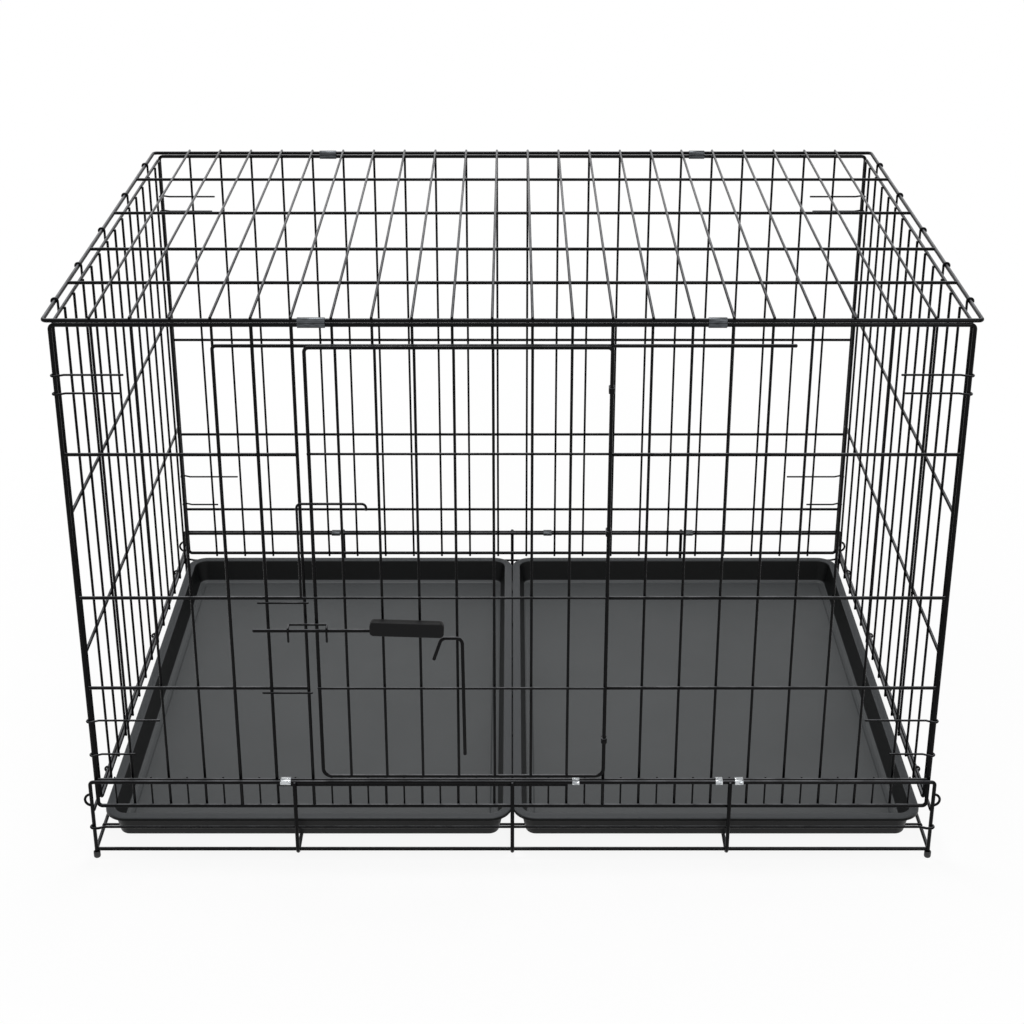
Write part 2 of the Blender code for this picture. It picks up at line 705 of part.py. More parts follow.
def make_latch_guide():
    """A staple on the door: a top wire whose ends bend over the bolt and hang in front of it."""
    top = bmesh.new()
    y = DOOR_Y - (DOOR_R + CURL_R + TOUCH)
    z = BOLT_HEIGHT + BOLT_R + CURL_R + REST_GAP
    left = DOOR_LEFT - GUIDE_BEFORE_DOOR
    right = DOOR_LEFT + GUIDE_INTO_DOOR
    rod(top, ((left - CURL_R / 2, y, z), (right + CURL_R / 2, y, z)), CURL_R, Z)
    hooks = bmesh.new()
    radius = BOLT_R + REST_GAP + CURL_R
    for x in (left, right):
        centre = (x, BOLT_Y, BOLT_HEIGHT)
        path = [Vector((x, y, z))] + arc(centre, radius, 90, 180, 4, Y, Z)
        path.append(path[-1] - GUIDE_LEG * Z)
        path.append(path[-1] + CURL_R * 1.5 * (Y - Z))
        rod(hooks, path, CURL_R * 0.97, X)
    made = combined("latch_guide", top, (hooks,))
    dressed(made, black_coat("latch_guide_coat"), DOOR_AXIS)


def make_latch_keeper():
    shape = bmesh.new()
    y = DOOR_BAR_Y - (DOOR_BAR_R + BOLT_R + TOUCH)
    left = DOOR_LEFT + KEEPER_INTO_DOOR
    right = left + KEEPER_WIDE
    corners = (
        (left, y, KEEPER_TOP - KEEPER_HOOK),
        (left + KEEPER_BEND * 1.6, y, KEEPER_TOP),
        (right - KEEPER_BEND * 0.3, y, KEEPER_TOP),
        (right, y, KEEPER_FOOT),
    )
    rod(shape, rounded(corners, KEEPER_BEND), BOLT_R, Y, FRAME_SIDES)
    dressed(finished("latch_keeper", shape), black_coat("latch_keeper_coat"), DOOR_AXIS)


def make_door_stop():
    """A bent wire that overlaps the left door post, so that the door can't be pushed inwards."""
    shape = bmesh.new()
    y = DOOR_Y - (DOOR_R + WIRE_R + TOUCH)
    x = DOOR_LEFT - DOOR_BAR_TAIL + WIRE_R
    end = DOOR_LEFT + STOP_INTO_DOOR
    top = FRONT_BAR_MIDDLE + STOP_TALL
    corners = (
        (x, y, FRONT_BAR_MIDDLE + DOOR_BAR_RISE + DOOR_BAR_R + TOUCH),
        (x, y, top),
        (end, y, top),
        (end, y, top - STOP_HOOK),
    )
    path = rounded(corners[:3], STOP_BEND)
    path.append(Vector(corners[3]))
    rod(shape, path, WIRE_R, Y)
    dressed(finished("door_stop", shape), black_coat("door_stop_coat"), DOOR_AXIS)


def posts_and_rim(front, rim):
    """Two corner posts joined by the rim rod that the long panel turns on."""
    shape = bmesh.new()
    y = front * BASE_Y
    foot = FOOT_SOLE + TOUCH
    corners = (
        (-POST_X, y, foot),
        (-POST_X, y, rim),
        (POST_X, y, rim),
        (POST_X, y, foot),
    )
    rod(shape, rounded(corners, RIM_BEND), FRAME_R, Y, FRAME_SIDES)
    return shape


def make_base_side(name, front, rim):
    """One long side of the base, whose floor rod, bails and side rims end at a seam near the corners."""
    y = front * BASE_Y
    seam = front * SEAM_Y
    ground = bmesh.new()
    corners = ((-POST_X, seam, GROUND_HEIGHT), (-POST_X, y, GROUND_HEIGHT))
    corners += ((POST_X, y, GROUND_HEIGHT), (POST_X, seam, GROUND_HEIGHT))
    rod(ground, rounded(corners, GROUND_BEND), GROUND_R, Z, FRAME_SIDES)
    legs = bmesh.new()
    leg_y = front * BAIL_Y
    for number in BAIL_WIRES:
        x = wire_x(number)
        corners = ((x, leg_y, rim + BAIL_ABOVE), (x, leg_y, BAIL_Z), (x, seam, BAIL_Z))
        rod(legs, rounded(corners, BAIL_BEND), FRAME_R, X, FRAME_SIDES)
    mid = bmesh.new()
    mid_y = front * (BAIL_Y - (FRAME_R + MID_ROD_R - UPPER_ROD_WELD))
    rod(mid, ((-POST_X, mid_y, MID_ROD_HEIGHT), (POST_X, mid_y, MID_ROD_HEIGHT)), MID_ROD_R, Y)
    rim_ends = bmesh.new()
    for x in (-SIDE_RIM_X, SIDE_RIM_X):
        ends = ((x, seam, SIDE_RIM_HEIGHT), (x, front * (BASE_Y + THIN_R), SIDE_RIM_HEIGHT))
        rod(rim_ends, ends, END_R, Z, FRAME_SIDES)
    loops = bmesh.new()
    for side in (-1, 1):
        centre = (side * POST_X, y, rim - LOOP_DROP)
        rod(loops, arc(centre, LOOP_R, -90, 90, 5, side * X, Z), MID_ROD_R, Y)
    made = combined(name, posts_and_rim(front, rim), (ground, legs, mid, rim_ends, loops))
    dressed(made, black_coat(name + "_coat"))


def make_base_floor():
    """The rods and wires that run between the two long sides of the base and carry the trays."""
    reach = SEAM_Y - SECTION_GAP
    side_rods = bmesh.new()
    for x in (-POST_X, POST_X):
        rod(side_rods, ((x, -reach, GROUND_HEIGHT), (x, reach, GROUND_HEIGHT)), GROUND_R, Z, FRAME_SIDES)
    long_wires = bmesh.new()
    for number in range(FLOOR_LONG_WIRES):
        y = (number - (FLOOR_LONG_WIRES - 1) / 2) * FLOOR_LONG_PITCH
        end = POST_X + WIRE_R
        rod(long_wires, ((-end, y, FLOOR_LONG_Z), (end, y, FLOOR_LONG_Z)), WIRE_R, Z)
    made = combined("base_floor", side_rods, (long_wires,))
    dressed(made, black_coat("base_floor_coat"))
    straights = [
        ("base_left_rim", -SIDE_RIM_X, SIDE_RIM_HEIGHT, END_R),
        ("base_right_rim", SIDE_RIM_X, SIDE_RIM_HEIGHT, END_R),
    ]
    for count, number in enumerate(BAIL_WIRES, 1):
        straights.append((f"base_bail_{count}", wire_x(number), BAIL_Z, FRAME_R))
    for name, x, z, radius in straights:
        shape = bmesh.new()
        rod(shape, ((x, -reach, z), (x, reach, z)), radius, Z, FRAME_SIDES)
        dressed(finished(name, shape), black_coat(name + "_coat"))


def make_base():
    """The base, in parts that are as simple as the spaces round them and meet end to end."""
    make_base_side("base_front_side", -1, FRONT_HINGE)
    make_base_side("base_back_side", 1, BACK_HINGE)
    make_base_floor()


def make_feet():
    hole = FRAME_R + RUNNING
    profile = (
        (FOOT_FLAT_R, 0),
        (FOOT_R, FOOT_R - FOOT_FLAT_R),
        (FOOT_R, FOOT_TALL - RUNNING),
        (FOOT_R - RUNNING, FOOT_TALL),
        (hole, FOOT_TALL),
        (hole, FOOT_SOLE),
    )
    rubber = material("foot_rubber", (0.015, 0.015, 0.016), 0.6)
    for end, front in (("front", -1), ("back", 1)):
        for hand, side in (("left", -1), ("right", 1)):
            shape = bmesh.new()
            centre = (side * POST_X, front * BASE_Y, 0)
            turned(shape, profile, centre, Z, X, FOOT_STEPS)
            dressed(finished(f"foot_{end}_{hand}", shape), rubber)


def make_clip(name, first, second, x, width):
    """A sheet-metal strip closed round two parallel rods, drawn in the YZ plane."""
    inner = FRAME_R + RUNNING
    across = (second - first).normalized()
    side = X.cross(across)
    strip = bmesh.new()
    loops = []
    for radius in (inner + CLIP_WALL, inner):
        outline = arc(first, radius, 90, 270, 5, across, side)
        outline += arc(second, radius, -90, 90, 5, across, side)
        for offset in (-width / 2, width / 2):
            loops.append([strip.verts.new(p + (x + offset) * X) for p in outline])
    outer_left, outer_right, inner_left, inner_right = loops
    count = len(outer_left)
    for k in range(count):
        after = (k + 1) % count
        for a, b in (
            (outer_left, outer_right),
            (outer_right, inner_right),
            (inner_right, inner_left),
            (inner_left, outer_left),
        ):
            strip.faces.new((a[k], a[after], b[after], b[k]))
    finish = bright_zinc if name.startswith("base_clip_front") else dark_zinc
    dressed(finished(name, strip), finish(name + "_zinc"))


def make_clips():
    hinge_bar = plane_y(HINGE_BAR_R, HINGE_BAR_WELD)
    for place, front, rim, roof_clips, base_clips in (
        ("front", -1, FRONT_HINGE, ROOF_CLIPS_FRONT, BASE_CLIPS_FRONT),
        ("back", 1, BACK_HINGE, ROOF_CLIPS_BACK, BASE_CLIPS_BACK),
    ):
        for number, (wire, width) in enumerate(roof_clips, 1):
            panel_rod = Vector((0, front * PANEL_Y, PANEL_TOP))
            roof_rod = Vector((0, front * PANEL_Y, ROOF_Z))
            make_clip(f"roof_clip_{place}_{number}", panel_rod, roof_rod, wire_x(wire), width)
        for number, (wire, width) in enumerate(base_clips, 1):
            rim_rod = Vector((0, front * BASE_Y, rim))
            panel_bar = Vector((0, front * hinge_bar, rim))
            make_clip(f"base_clip_{place}_{number}", rim_rod, panel_bar, wire_x(wire), width)


def tray_ring(shape, low_x, high_x, inset, z):
    """One level of the tray: a rounded rectangle, set in from the flange's outer edge."""
    half = BASE_Y - FRAME_R - TRAY_SIDE_GAP - inset
    corners = ((low_x + inset, -half, z), (high_x - inset, -half, z))
    corners += ((high_x - inset, half, z), (low_x + inset, half, z))
    radius = max(TRAY_CORNER - inset, TRAY_FILLET)
    path = rounded(corners, radius, closed=True, steps=TRAY_CORNER_STEPS)
    return [shape.verts.new(p) for p in path]


def make_tray(name, low_x, high_x):
    """A moulded pan: flat floor field, drafted walls and a flange with a turned-down lip."""
    top = TRAY_Z + TRAY_TALL
    wall_out = TRAY_FLANGE - TRAY_WALL
    foot_out = wall_out + TRAY_DRAFT
    levels = (
        (foot_out + TRAY_FILLET, TRAY_Z),
        (foot_out, TRAY_Z + TRAY_FILLET),
        (wall_out, top - TRAY_WALL),
        (TRAY_WALL, top - TRAY_WALL),
        (TRAY_WALL, top - TRAY_LIP),
        (0, top - TRAY_LIP),
        (0, top - TRAY_WALL / 2),
        (TRAY_WALL / 2, top),
        (TRAY_FLANGE - TRAY_WALL / 2, top),
        (TRAY_FLANGE, top - TRAY_WALL / 2),
        (TRAY_FLANGE + TRAY_DRAFT, TRAY_Z + TRAY_WALL + TRAY_FILLET),
        (TRAY_FLANGE + TRAY_DRAFT + TRAY_FILLET, TRAY_Z + TRAY_WALL),
        (TRAY_FLANGE + TRAY_DRAFT + TRAY_FIELD, TRAY_Z + TRAY_WALL),
        (TRAY_FLANGE + TRAY_DRAFT + TRAY_FIELD + TRAY_WALL, TRAY_Z + TRAY_WALL + TRAY_FIELD_RISE),
    )
    shape = bmesh.new()
    rings = [tray_ring(shape, low_x, high_x, inset, z) for inset, z in levels]
    count = len(rings[0])
    for near, far in zip(rings, rings[1:]):
        for k in range(count):
            after = (k + 1) % count
            shape.faces.new((near[k], near[after], far[after], far[k]))
    shape.faces.new(reversed(rings[0]))
    shape.faces.new(rings[-1])
    dressed(finished(name, shape), material(name + "_plastic", (0.075, 0.078, 0.08), 0.5))


def make_crate():
    for old in list(bpy.data.objects):
        bpy.data.objects.remove(old)
    make_base()
    make_feet()
    make_front_panel()
    make_back_panel()
    make_top_panel()
    make_end_panel("left_end_panel", -1)
    make_end_panel("right_end_panel", 1)
    make_door()
    make_door_hinges()
    make_door_stop()
    make_latch_bolt()
    make_latch_grip()
    make_latch_guide()
    make_latch_keeper()
    make_clips()
    outer = POST_X - TRAY_END_GAP
    make_tray("left_tray", -outer, -TRAY_MIDDLE_GAP)
    make_tray("right_tray", TRAY_MIDDLE_GAP, outer)


make_crate()
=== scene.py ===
# %% [markdown]
# A folding wire dog crate
#
# The crate is a cage of welded steel wire with a side-hung door, a slide-bolt latch and two plastic trays.
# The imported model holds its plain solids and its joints. This file gives each of them its finished form:
# round wires with cut ends, weld nuggets, bent sheet clips, moulded trays, and the finishes of all of them.
# Loading it first means that every size below can be set against a solid that is already in place.

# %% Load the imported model
from math import asin, atan2, cos, degrees, pi, radians, sin, tan

import bmesh
import bpy
from mathutils import Matrix, Vector


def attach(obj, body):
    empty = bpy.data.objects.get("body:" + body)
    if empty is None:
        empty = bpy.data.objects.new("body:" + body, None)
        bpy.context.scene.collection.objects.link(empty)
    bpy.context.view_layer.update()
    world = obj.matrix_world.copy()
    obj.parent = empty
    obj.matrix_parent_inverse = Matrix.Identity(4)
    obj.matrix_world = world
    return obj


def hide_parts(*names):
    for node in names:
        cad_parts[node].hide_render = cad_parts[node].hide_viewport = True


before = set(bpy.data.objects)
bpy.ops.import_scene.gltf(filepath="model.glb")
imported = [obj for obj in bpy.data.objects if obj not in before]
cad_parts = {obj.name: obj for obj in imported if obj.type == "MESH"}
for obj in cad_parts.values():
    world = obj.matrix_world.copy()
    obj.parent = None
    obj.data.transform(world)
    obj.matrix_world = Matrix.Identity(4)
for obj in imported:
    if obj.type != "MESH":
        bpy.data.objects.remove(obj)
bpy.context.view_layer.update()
X, Y, Z = Vector((1, 0, 0)), Vector((0, 1, 0)), Vector((0, 0, 1))

# %% [markdown]
# The camera
#
# The photograph looks slightly down at the front from about two and a half metres away. The lens, the
# height and the tilt come from matching the crate's corners and crossings to the picture, with the horizon
# moved by a small lens shift, so that the upright rods lean apart only as much as they do there.


# %% Camera
def new_object(name, data):
    """An object that holds some data, linked to the scene."""
    made = bpy.data.objects.new(name, data)
    bpy.context.scene.collection.objects.link(made)
    return made


TILT_DOWN = 23.01
camera_data = bpy.data.cameras.new("camera")
camera_data.lens = 65.63
camera_data.sensor_width = 36
camera_data.shift_y = -0.10
camera = new_object("camera", camera_data)
camera.location = (-0.0005, -2.6703, 1.6678)
camera.rotation_euler = (radians(90 - TILT_DOWN), 0, 0)
bpy.context.scene.camera = camera
print("camera at", tuple(camera.location))

# %% [markdown]
# Two helpers
#
# Colours are written as they look on a screen, in sRGB, while Blender's shaders count in linear light, so
# one function turns the one into the other. Node trees, for shaders and for shapes alike, are built from
# one small function that adds a node, sets its values and joins its links.


# %% Colour and node helpers
def colour(code):
    """The linear colour of a hex code such as '#1a1a1b'."""
    values = [int(code[i : i + 2], 16) / 255 for i in (1, 3, 5)]
    return [v / 12.92 if v <= 0.04045 else ((v + 0.055) / 1.055) ** 2.4 for v in values] + [1]


def add(tree, kind, values=None, links=None, **settings):
    """A node with its settings, its input values and the sockets that feed it."""
    made = tree.nodes.new(kind)
    for key, value in settings.items():
        setattr(made, key, value)
    for key, value in (values or {}).items():
        made.inputs[key].default_value = value
    for key, source in (links or {}).items():
        tree.links.new(source, made.inputs[key])
    return made


print("soot black in linear light", [round(v, 5) for v in colour("#040405")])

# %% [markdown]
# Finishes
#
# Each finish starts from the real one: what it is made of and how its surface came about. The patterns are
# three-dimensional and read the object's own metres, so a scale is one over the pattern's real size.
# A finish always begins the same way, with a Principled shader and the place on the object. Where a finish
# paints in the light from above, as a painted highlight or painted shade, the surfaces that face up are found
# from the surface itself: its normal, seen in the object's own axes, points up there.


# %% Start of a finish
def new_finish(name, roughness, metallic=0.0):
    """A material, its tree, its shader and its place on the object."""
    made = bpy.data.materials.new(name)
    made.use_nodes = True
    tree = made.node_tree
    shader = tree.nodes["Principled BSDF"]
    shader.inputs["Roughness"].default_value = roughness
    shader.inputs["Metallic"].default_value = metallic
    place = add(tree, "ShaderNodeTexCoord").outputs["Object"]
    return made, tree, shader, place


def per_mm(size):
    """The texture scale at which a pattern's cells are about this many millimetres wide."""
    return 1000 / size


def facing_up(tree, low, high, most=1.0):
    """How far the surface faces up: 0 where its normal's height is low, and the most where it is high."""
    normal = add(tree, "ShaderNodeTexCoord").outputs["Normal"]
    parts = add(tree, "ShaderNodeSeparateXYZ", links={"Vector": normal})
    span = {"From Min": low, "From Max": high, "To Max": most}
    return add(tree, "ShaderNodeMapRange", span, {"Value": parts.outputs["Z"]}).outputs["Result"]


print("a 3 mm pattern has scale", round(per_mm(3)))

# %% [markdown]
# Black coated steel wire
#
# The wire is drawn steel that was welded and then dipped in a black electrocoat. The coat is thin and
# semi-gloss, pools a little, and has a faint orange-peel skin. Two noises do this: a wide one that lets
# the coat go from deep black to a tired grey-black and from glossy to duller, and a narrow one for the
# bump. The real skin has 0.8 mm cells, which is finer than the picture shows, so it is drawn at 2.5 mm.
# The coat is filled with soot, which swallows light at its face, so it mirrors less than a clear lacquer.
# The tops of the wires are painted paler: a painted highlight of the light from above. Where the surface's
# own normal points up, a grey is mixed in as that painted highlight, broken by the wide noise.

# %% Black electrocoat
coated_wire, tree, shader, place = new_finish("electrocoated_steel_wire", 0.26)
clouds = add(tree, "ShaderNodeTexNoise", {"Scale": per_mm(28), "Detail": 3}, {"Vector": place})
shade = add(tree, "ShaderNodeValToRGB", links={"Fac": clouds.outputs["Fac"]})
shade.color_ramp.elements[0].position = 0.35
shade.color_ramp.elements[0].color = colour("#040405")
shade.color_ramp.elements[1].position = 0.75
shade.color_ramp.elements[1].color = colour("#0b0b0c")
# Painted highlight: a pale grey on the tops, where the normal points up, stands for the light from above.
upward = facing_up(tree, 0.80, 0.98, most=1.5)
painted_highlight_mask = add(tree, "ShaderNodeMath", links={0: upward, 1: clouds.outputs["Fac"]}, operation="MULTIPLY")
coat = {"Factor": painted_highlight_mask.outputs["Value"], "A": shade.outputs["Color"]}
coat_with_painted_highlight = add(tree, "ShaderNodeMix", {"B": colour("#6e6f72")}, coat, data_type="RGBA")
tree.links.new(coat_with_painted_highlight.outputs["Result"], shader.inputs["Base Color"])
gloss = add(tree, "ShaderNodeMapRange", {"To Min": 0.18, "To Max": 0.30}, {"Value": clouds.outputs["Fac"]})
tree.links.new(gloss.outputs["Result"], shader.inputs["Roughness"])
peel = add(tree, "ShaderNodeTexNoise", {"Scale": per_mm(2.5), "Detail": 2}, {"Vector": place})
skin = add(tree, "ShaderNodeBump", {"Strength": 0.35, "Distance": 0.00012}, {"Height": peel.outputs["Fac"]})
tree.links.new(skin.outputs["Normal"], shader.inputs["Normal"])
shader.inputs["Specular IOR Level"].default_value = 0.08
print("made", coated_wire.name)

# %% [markdown]
# Galvanised and dark-passivated clips
#
# The clips are cut from steel strip. The low ones in front are bright hot-dip zinc, whose crystals show as
# pale and dark patches called spangle; cells of a Voronoi pattern, each with its own grey, are just that.
# The clips of the roof and of the back have a dark passivated zinc, with streaks left by rolling, which a
# stretched noise gives.

# %% Bright zinc
bright_zinc, tree, shader, place = new_finish("galvanised_steel_strip", 0.3, 1.0)
crystals = add(tree, "ShaderNodeTexVoronoi", {"Scale": per_mm(3.5)}, {"Vector": place})
grey = add(tree, "ShaderNodeSeparateColor", links={"Color": crystals.outputs["Color"]})
spangle = add(tree, "ShaderNodeValToRGB", links={"Fac": grey.outputs["Red"]})
spangle.color_ramp.elements[0].color = colour("#8d9194")
spangle.color_ramp.elements[1].color = colour("#cdd0d2")
tree.links.new(spangle.outputs["Color"], shader.inputs["Base Color"])
dull = add(tree, "ShaderNodeMapRange", {"To Min": 0.22, "To Max": 0.42}, {"Value": grey.outputs["Green"]})
tree.links.new(dull.outputs["Result"], shader.inputs["Roughness"])
print("made", bright_zinc.name)

# %% Dark zinc
dark_zinc, tree, shader, place = new_finish("passivated_steel_strip", 0.4, 1.0)
along = add(tree, "ShaderNodeMapping", {"Scale": (0.15, 1, 1)}, {"Vector": place})
drawn_out = along.outputs["Vector"]
streaks = add(tree, "ShaderNodeTexNoise", {"Scale": per_mm(1.5), "Detail": 3}, {"Vector": drawn_out})
tone = add(tree, "ShaderNodeValToRGB", links={"Fac": streaks.outputs["Fac"]})
tone.color_ramp.elements[0].position = 0.3
tone.color_ramp.elements[0].color = colour("#36383a")
tone.color_ramp.elements[1].position = 0.7
tone.color_ramp.elements[1].color = colour("#5b5e61")
tree.links.new(tone.outputs["Color"], shader.inputs["Base Color"])
dull = add(tree, "ShaderNodeMapRange", {"To Min": 0.32, "To Max": 0.5}, {"Value": streaks.outputs["Fac"]})
tree.links.new(dull.outputs["Result"], shader.inputs["Roughness"])
print("made", dark_zinc.name)

# %% [markdown]
# Moulded polypropylene trays
#
# The pans are vacuum-formed or moulded polypropylene, dyed charcoal. The mould is textured on the floor, so
# that spills wipe off without showing scratches. The colour follows the height, with painted light in it: the
# floor is painted paler as a painted reflection of the light above, a lighter line at the foot of the wall is
# a painted highlight on the fillet, the wall is painted dark as painted shade, and the flange is paler again.
# Where the surface's normal doesn't point up, on the walls, the outside and the underside, it is painted
# dark: painted shade. Sheets of plastic are never flat: a very wide and shallow bump makes the reflections in
# the floor wander as they do in the picture.
# The grain is 0.7 mm on the real one and is drawn at 1.6 mm, the finest that the picture can show.

# %% Tray plastic
LOWEST, HIGHEST = 0.020, 0.065
# Painted light by height: a paler floor as a painted reflection, a painted highlight line at the wall's foot,
# painted shade on the wall, and a paler flange.
BANDS = ((0.10, "#4b4d4e"), (0.13, "#646668"), (0.19, "#0f1011"), (0.90, "#0a0b0b"), (0.94, "#404244"))
tray_plastic, tree, shader, place = new_finish("moulded_polypropylene", 0.4)
wide = add(tree, "ShaderNodeTexNoise", {"Scale": per_mm(140), "Detail": 2}, {"Vector": place})
height = add(tree, "ShaderNodeSeparateXYZ", links={"Vector": place})
levels = {"From Min": LOWEST, "From Max": HIGHEST}
rise = add(tree, "ShaderNodeMapRange", levels, {"Value": height.outputs["Z"]})
bands = add(tree, "ShaderNodeValToRGB", links={"Fac": rise.outputs["Result"]})
stops = bands.color_ramp.elements
stops[0].color = stops[1].color = colour("#404244")
for position, code in BANDS:
    stops.new(position).color = colour(code)
worn = add(tree, "ShaderNodeMapRange", {"To Min": 0.9, "To Max": 1.12}, {"Value": wide.outputs["Fac"]})
# Painted shade: surfaces whose normal doesn't point up are painted dark.
sides = {"Factor": facing_up(tree, 0.15, 0.5), "B": bands.outputs["Color"]}
moulded = add(tree, "ShaderNodeMix", {"A": colour("#0b0c0c")}, sides, data_type="RGBA")
both = {"A": moulded.outputs["Result"], "B": worn.outputs["Result"]}
dye_and_painted_light = add(tree, "ShaderNodeMix", {"Factor": 1.0}, both, data_type="RGBA", blend_type="MULTIPLY")
tree.links.new(dye_and_painted_light.outputs["Result"], shader.inputs["Base Color"])
grain = add(tree, "ShaderNodeTexNoise", {"Scale": per_mm(1.6), "Detail": 2}, {"Vector": place})
satin = add(tree, "ShaderNodeMapRange", {"To Min": 0.34, "To Max": 0.46}, {"Value": grain.outputs["Fac"]})
tree.links.new(satin.outputs["Result"], shader.inputs["Roughness"])
sway = add(tree, "ShaderNodeBump", {"Strength": 0.25, "Distance": 0.004}, {"Height": wide.outputs["Fac"]})
pores = add(tree, "ShaderNodeBump", {"Strength": 0.2, "Distance": 0.0001}, {"Height": grain.outputs["Fac"]})
tree.links.new(sway.outputs["Normal"], pores.inputs["Normal"])
tree.links.new(pores.outputs["Normal"], shader.inputs["Normal"])
shader.inputs["Specular IOR Level"].default_value = 0.15
print("made", tray_plastic.name)

# %% [markdown]
# Soft vinyl grip and rubber feet
#
# The grip is soft vinyl, moulded with a fine matt texture so that a damp hand doesn't slip. The feet are
# plain black rubber, duller still, and a little dusty where they meet the floor.

# %% Vinyl and rubber
grip_vinyl, tree, shader, place = new_finish("soft_vinyl_moulding", 0.46)
matt = add(tree, "ShaderNodeTexNoise", {"Scale": per_mm(1.4), "Detail": 2}, {"Vector": place})
vinyl = add(tree, "ShaderNodeValToRGB", links={"Fac": matt.outputs["Fac"]})
vinyl.color_ramp.elements[0].color = colour("#080809")
vinyl.color_ramp.elements[1].color = colour("#0f0f10")
tree.links.new(vinyl.outputs["Color"], shader.inputs["Base Color"])
depth = {"Strength": 0.3, "Distance": 0.00015}
texture = add(tree, "ShaderNodeBump", depth, {"Height": matt.outputs["Fac"]})
tree.links.new(texture.outputs["Normal"], shader.inputs["Normal"])
shader.inputs["Specular IOR Level"].default_value = 0.12

foot_rubber, tree, shader, place = new_finish("moulded_black_rubber", 0.6)
height = add(tree, "ShaderNodeSeparateXYZ", links={"Vector": place})
fading = {"From Max": 0.006, "To Min": 1, "To Max": 0}
dust = add(tree, "ShaderNodeMapRange", fading, {"Value": height.outputs["Z"]})
motes = add(tree, "ShaderNodeTexNoise", {"Scale": per_mm(1.2), "Detail": 3}, {"Vector": place})
both = {0: dust.outputs["Result"], 1: motes.outputs["Fac"]}
amount = add(tree, "ShaderNodeMath", links=both, operation="MULTIPLY")
tones = {"A": colour("#141415"), "B": colour("#4a4846")}
dusty = add(tree, "ShaderNodeMix", tones, {"Factor": amount.outputs["Value"]}, data_type="RGBA")
tree.links.new(dusty.outputs["Result"], shader.inputs["Base Color"])
print("made", grip_vinyl.name, "and", foot_rubber.name)

# %% [markdown]
# Wires with Geometry Nodes
#
# Almost everything here is wire, and a wire is a path with a thickness. The path's corners are a mesh of
# points and edges whose points say how thick the wire is and how tightly it bends there. A tree of nodes
# rounds the corners, sweeps a circle along the path, and repeats the result at an even pitch. The same
# tree serves a single hook and a row of twenty-two uprights, and a change of one number changes them all.
# Two trees are needed here, one for wires and one for weld beads. Both start with named inputs and end in
# real geometry with a material. A modifier's input is set by its socket's identifier, not by its name, so
# the identifiers are kept.


# %% How both trees start and end
def new_tree(name, entry, inputs):
    """A tree with a geometry input and named inputs, the inputs' identifiers, and the sockets they give."""
    tree = bpy.data.node_groups.new(name, "GeometryNodeTree")
    tree.interface.new_socket("Geometry", in_out="OUTPUT", socket_type="NodeSocketGeometry")
    tree.interface.new_socket(entry, in_out="INPUT", socket_type="NodeSocketGeometry")
    sockets = {}
    for label, kind in inputs.items():
        made = tree.interface.new_socket(label, in_out="INPUT", socket_type="NodeSocket" + kind)
        sockets[label] = made.identifier
    return tree, sockets, add(tree, "NodeGroupInput").outputs


def end_tree(tree, instances, finish):
    """Turns the copies into real, smooth geometry with a material, and puts it out."""
    real = add(tree, "GeometryNodeRealizeInstances", links={"Geometry": instances})
    smooth = add(tree, "GeometryNodeSetShadeSmooth", links={"Geometry": real.outputs["Geometry"]})
    dressed = {"Geometry": smooth.outputs["Geometry"], "Material": finish}
    finished = add(tree, "GeometryNodeSetMaterial", links=dressed)
    add(tree, "NodeGroupOutput", links={"Geometry": finished.outputs["Geometry"]})
    print(tree.name, "has", len(tree.nodes), "nodes")


def plain_mesh(made):
    """The mesh that an object's modifiers make. The object is then no longer needed."""
    graph = bpy.context.evaluated_depsgraph_get()
    mesh = bpy.data.meshes.new_from_object(made.evaluated_get(graph))
    bpy.data.objects.remove(made)
    return mesh


def grown(mesh, tree, sockets, values):
    """The plain mesh that a tree makes of a mesh with some values for its inputs."""
    made = new_object("growing", mesh)
    step = made.modifiers.new("tree", "NODES")
    step.node_group = tree
    for label, value in values.items():
        step[sockets[label]] = value
    return plain_mesh(made)


# %% The tree of a round wire, repeated in a row
wire_inputs = {"Sides": "Int", "Bend Steps": "Int", "Wires": "Int", "Pitch": "Vector", "Finish": "Material"}
wire_tree, wire_sockets, given = new_tree("row_of_round_wires", "Path", wire_inputs)
path = add(wire_tree, "GeometryNodeMeshToCurve", links={"Mesh": given["Path"]})
bend = add(wire_tree, "GeometryNodeInputNamedAttribute", {"Name": "bend"}, data_type="FLOAT")
bent = add(
    wire_tree,
    "GeometryNodeFilletCurve",
    {"Limit Radius": True},
    {"Curve": path.outputs["Curve"], "Count": given["Bend Steps"], "Radius": bend.outputs["Attribute"]},
    mode="POLY",
)
circle = add(wire_tree, "GeometryNodeCurvePrimitiveCircle", {"Radius": 1}, {"Resolution": given["Sides"]})
thickness = add(wire_tree, "GeometryNodeInputNamedAttribute", {"Name": "thickness"}, data_type="FLOAT")
swept = add(
    wire_tree,
    "GeometryNodeCurveToMesh",
    {"Fill Caps": True},
    {
        "Curve": bent.outputs["Curve"],
        "Profile Curve": circle.outputs["Curve"],
        "Scale": thickness.outputs["Attribute"],
    },
)
places = add(wire_tree, "GeometryNodeMeshLine", links={"Count": given["Wires"], "Offset": given["Pitch"]})
row = add(
    wire_tree,
    "GeometryNodeInstanceOnPoints",
    links={"Points": places.outputs["Mesh"], "Instance": swept.outputs["Mesh"]},
)
end_tree(wire_tree, row.outputs["Instances"], given["Finish"])

# %% [markdown]
# A cut wire isn't sharp at its end: the shears leave a small dome and the coat rounds it further. So a
# path gets two more points near each open end, where the wire thins out, before the tree sweeps it.


# %% From corners to wire
BEND_STEPS = 7


def wire(points, radius, bend=0.0, closed=False):
    """One wire: the corners of its path, its radius and the radius of its bends, or one for each corner."""
    bends = bend if isinstance(bend, tuple) else (bend,) * len(points)
    return [Vector(p) for p in points], radius, bends, closed


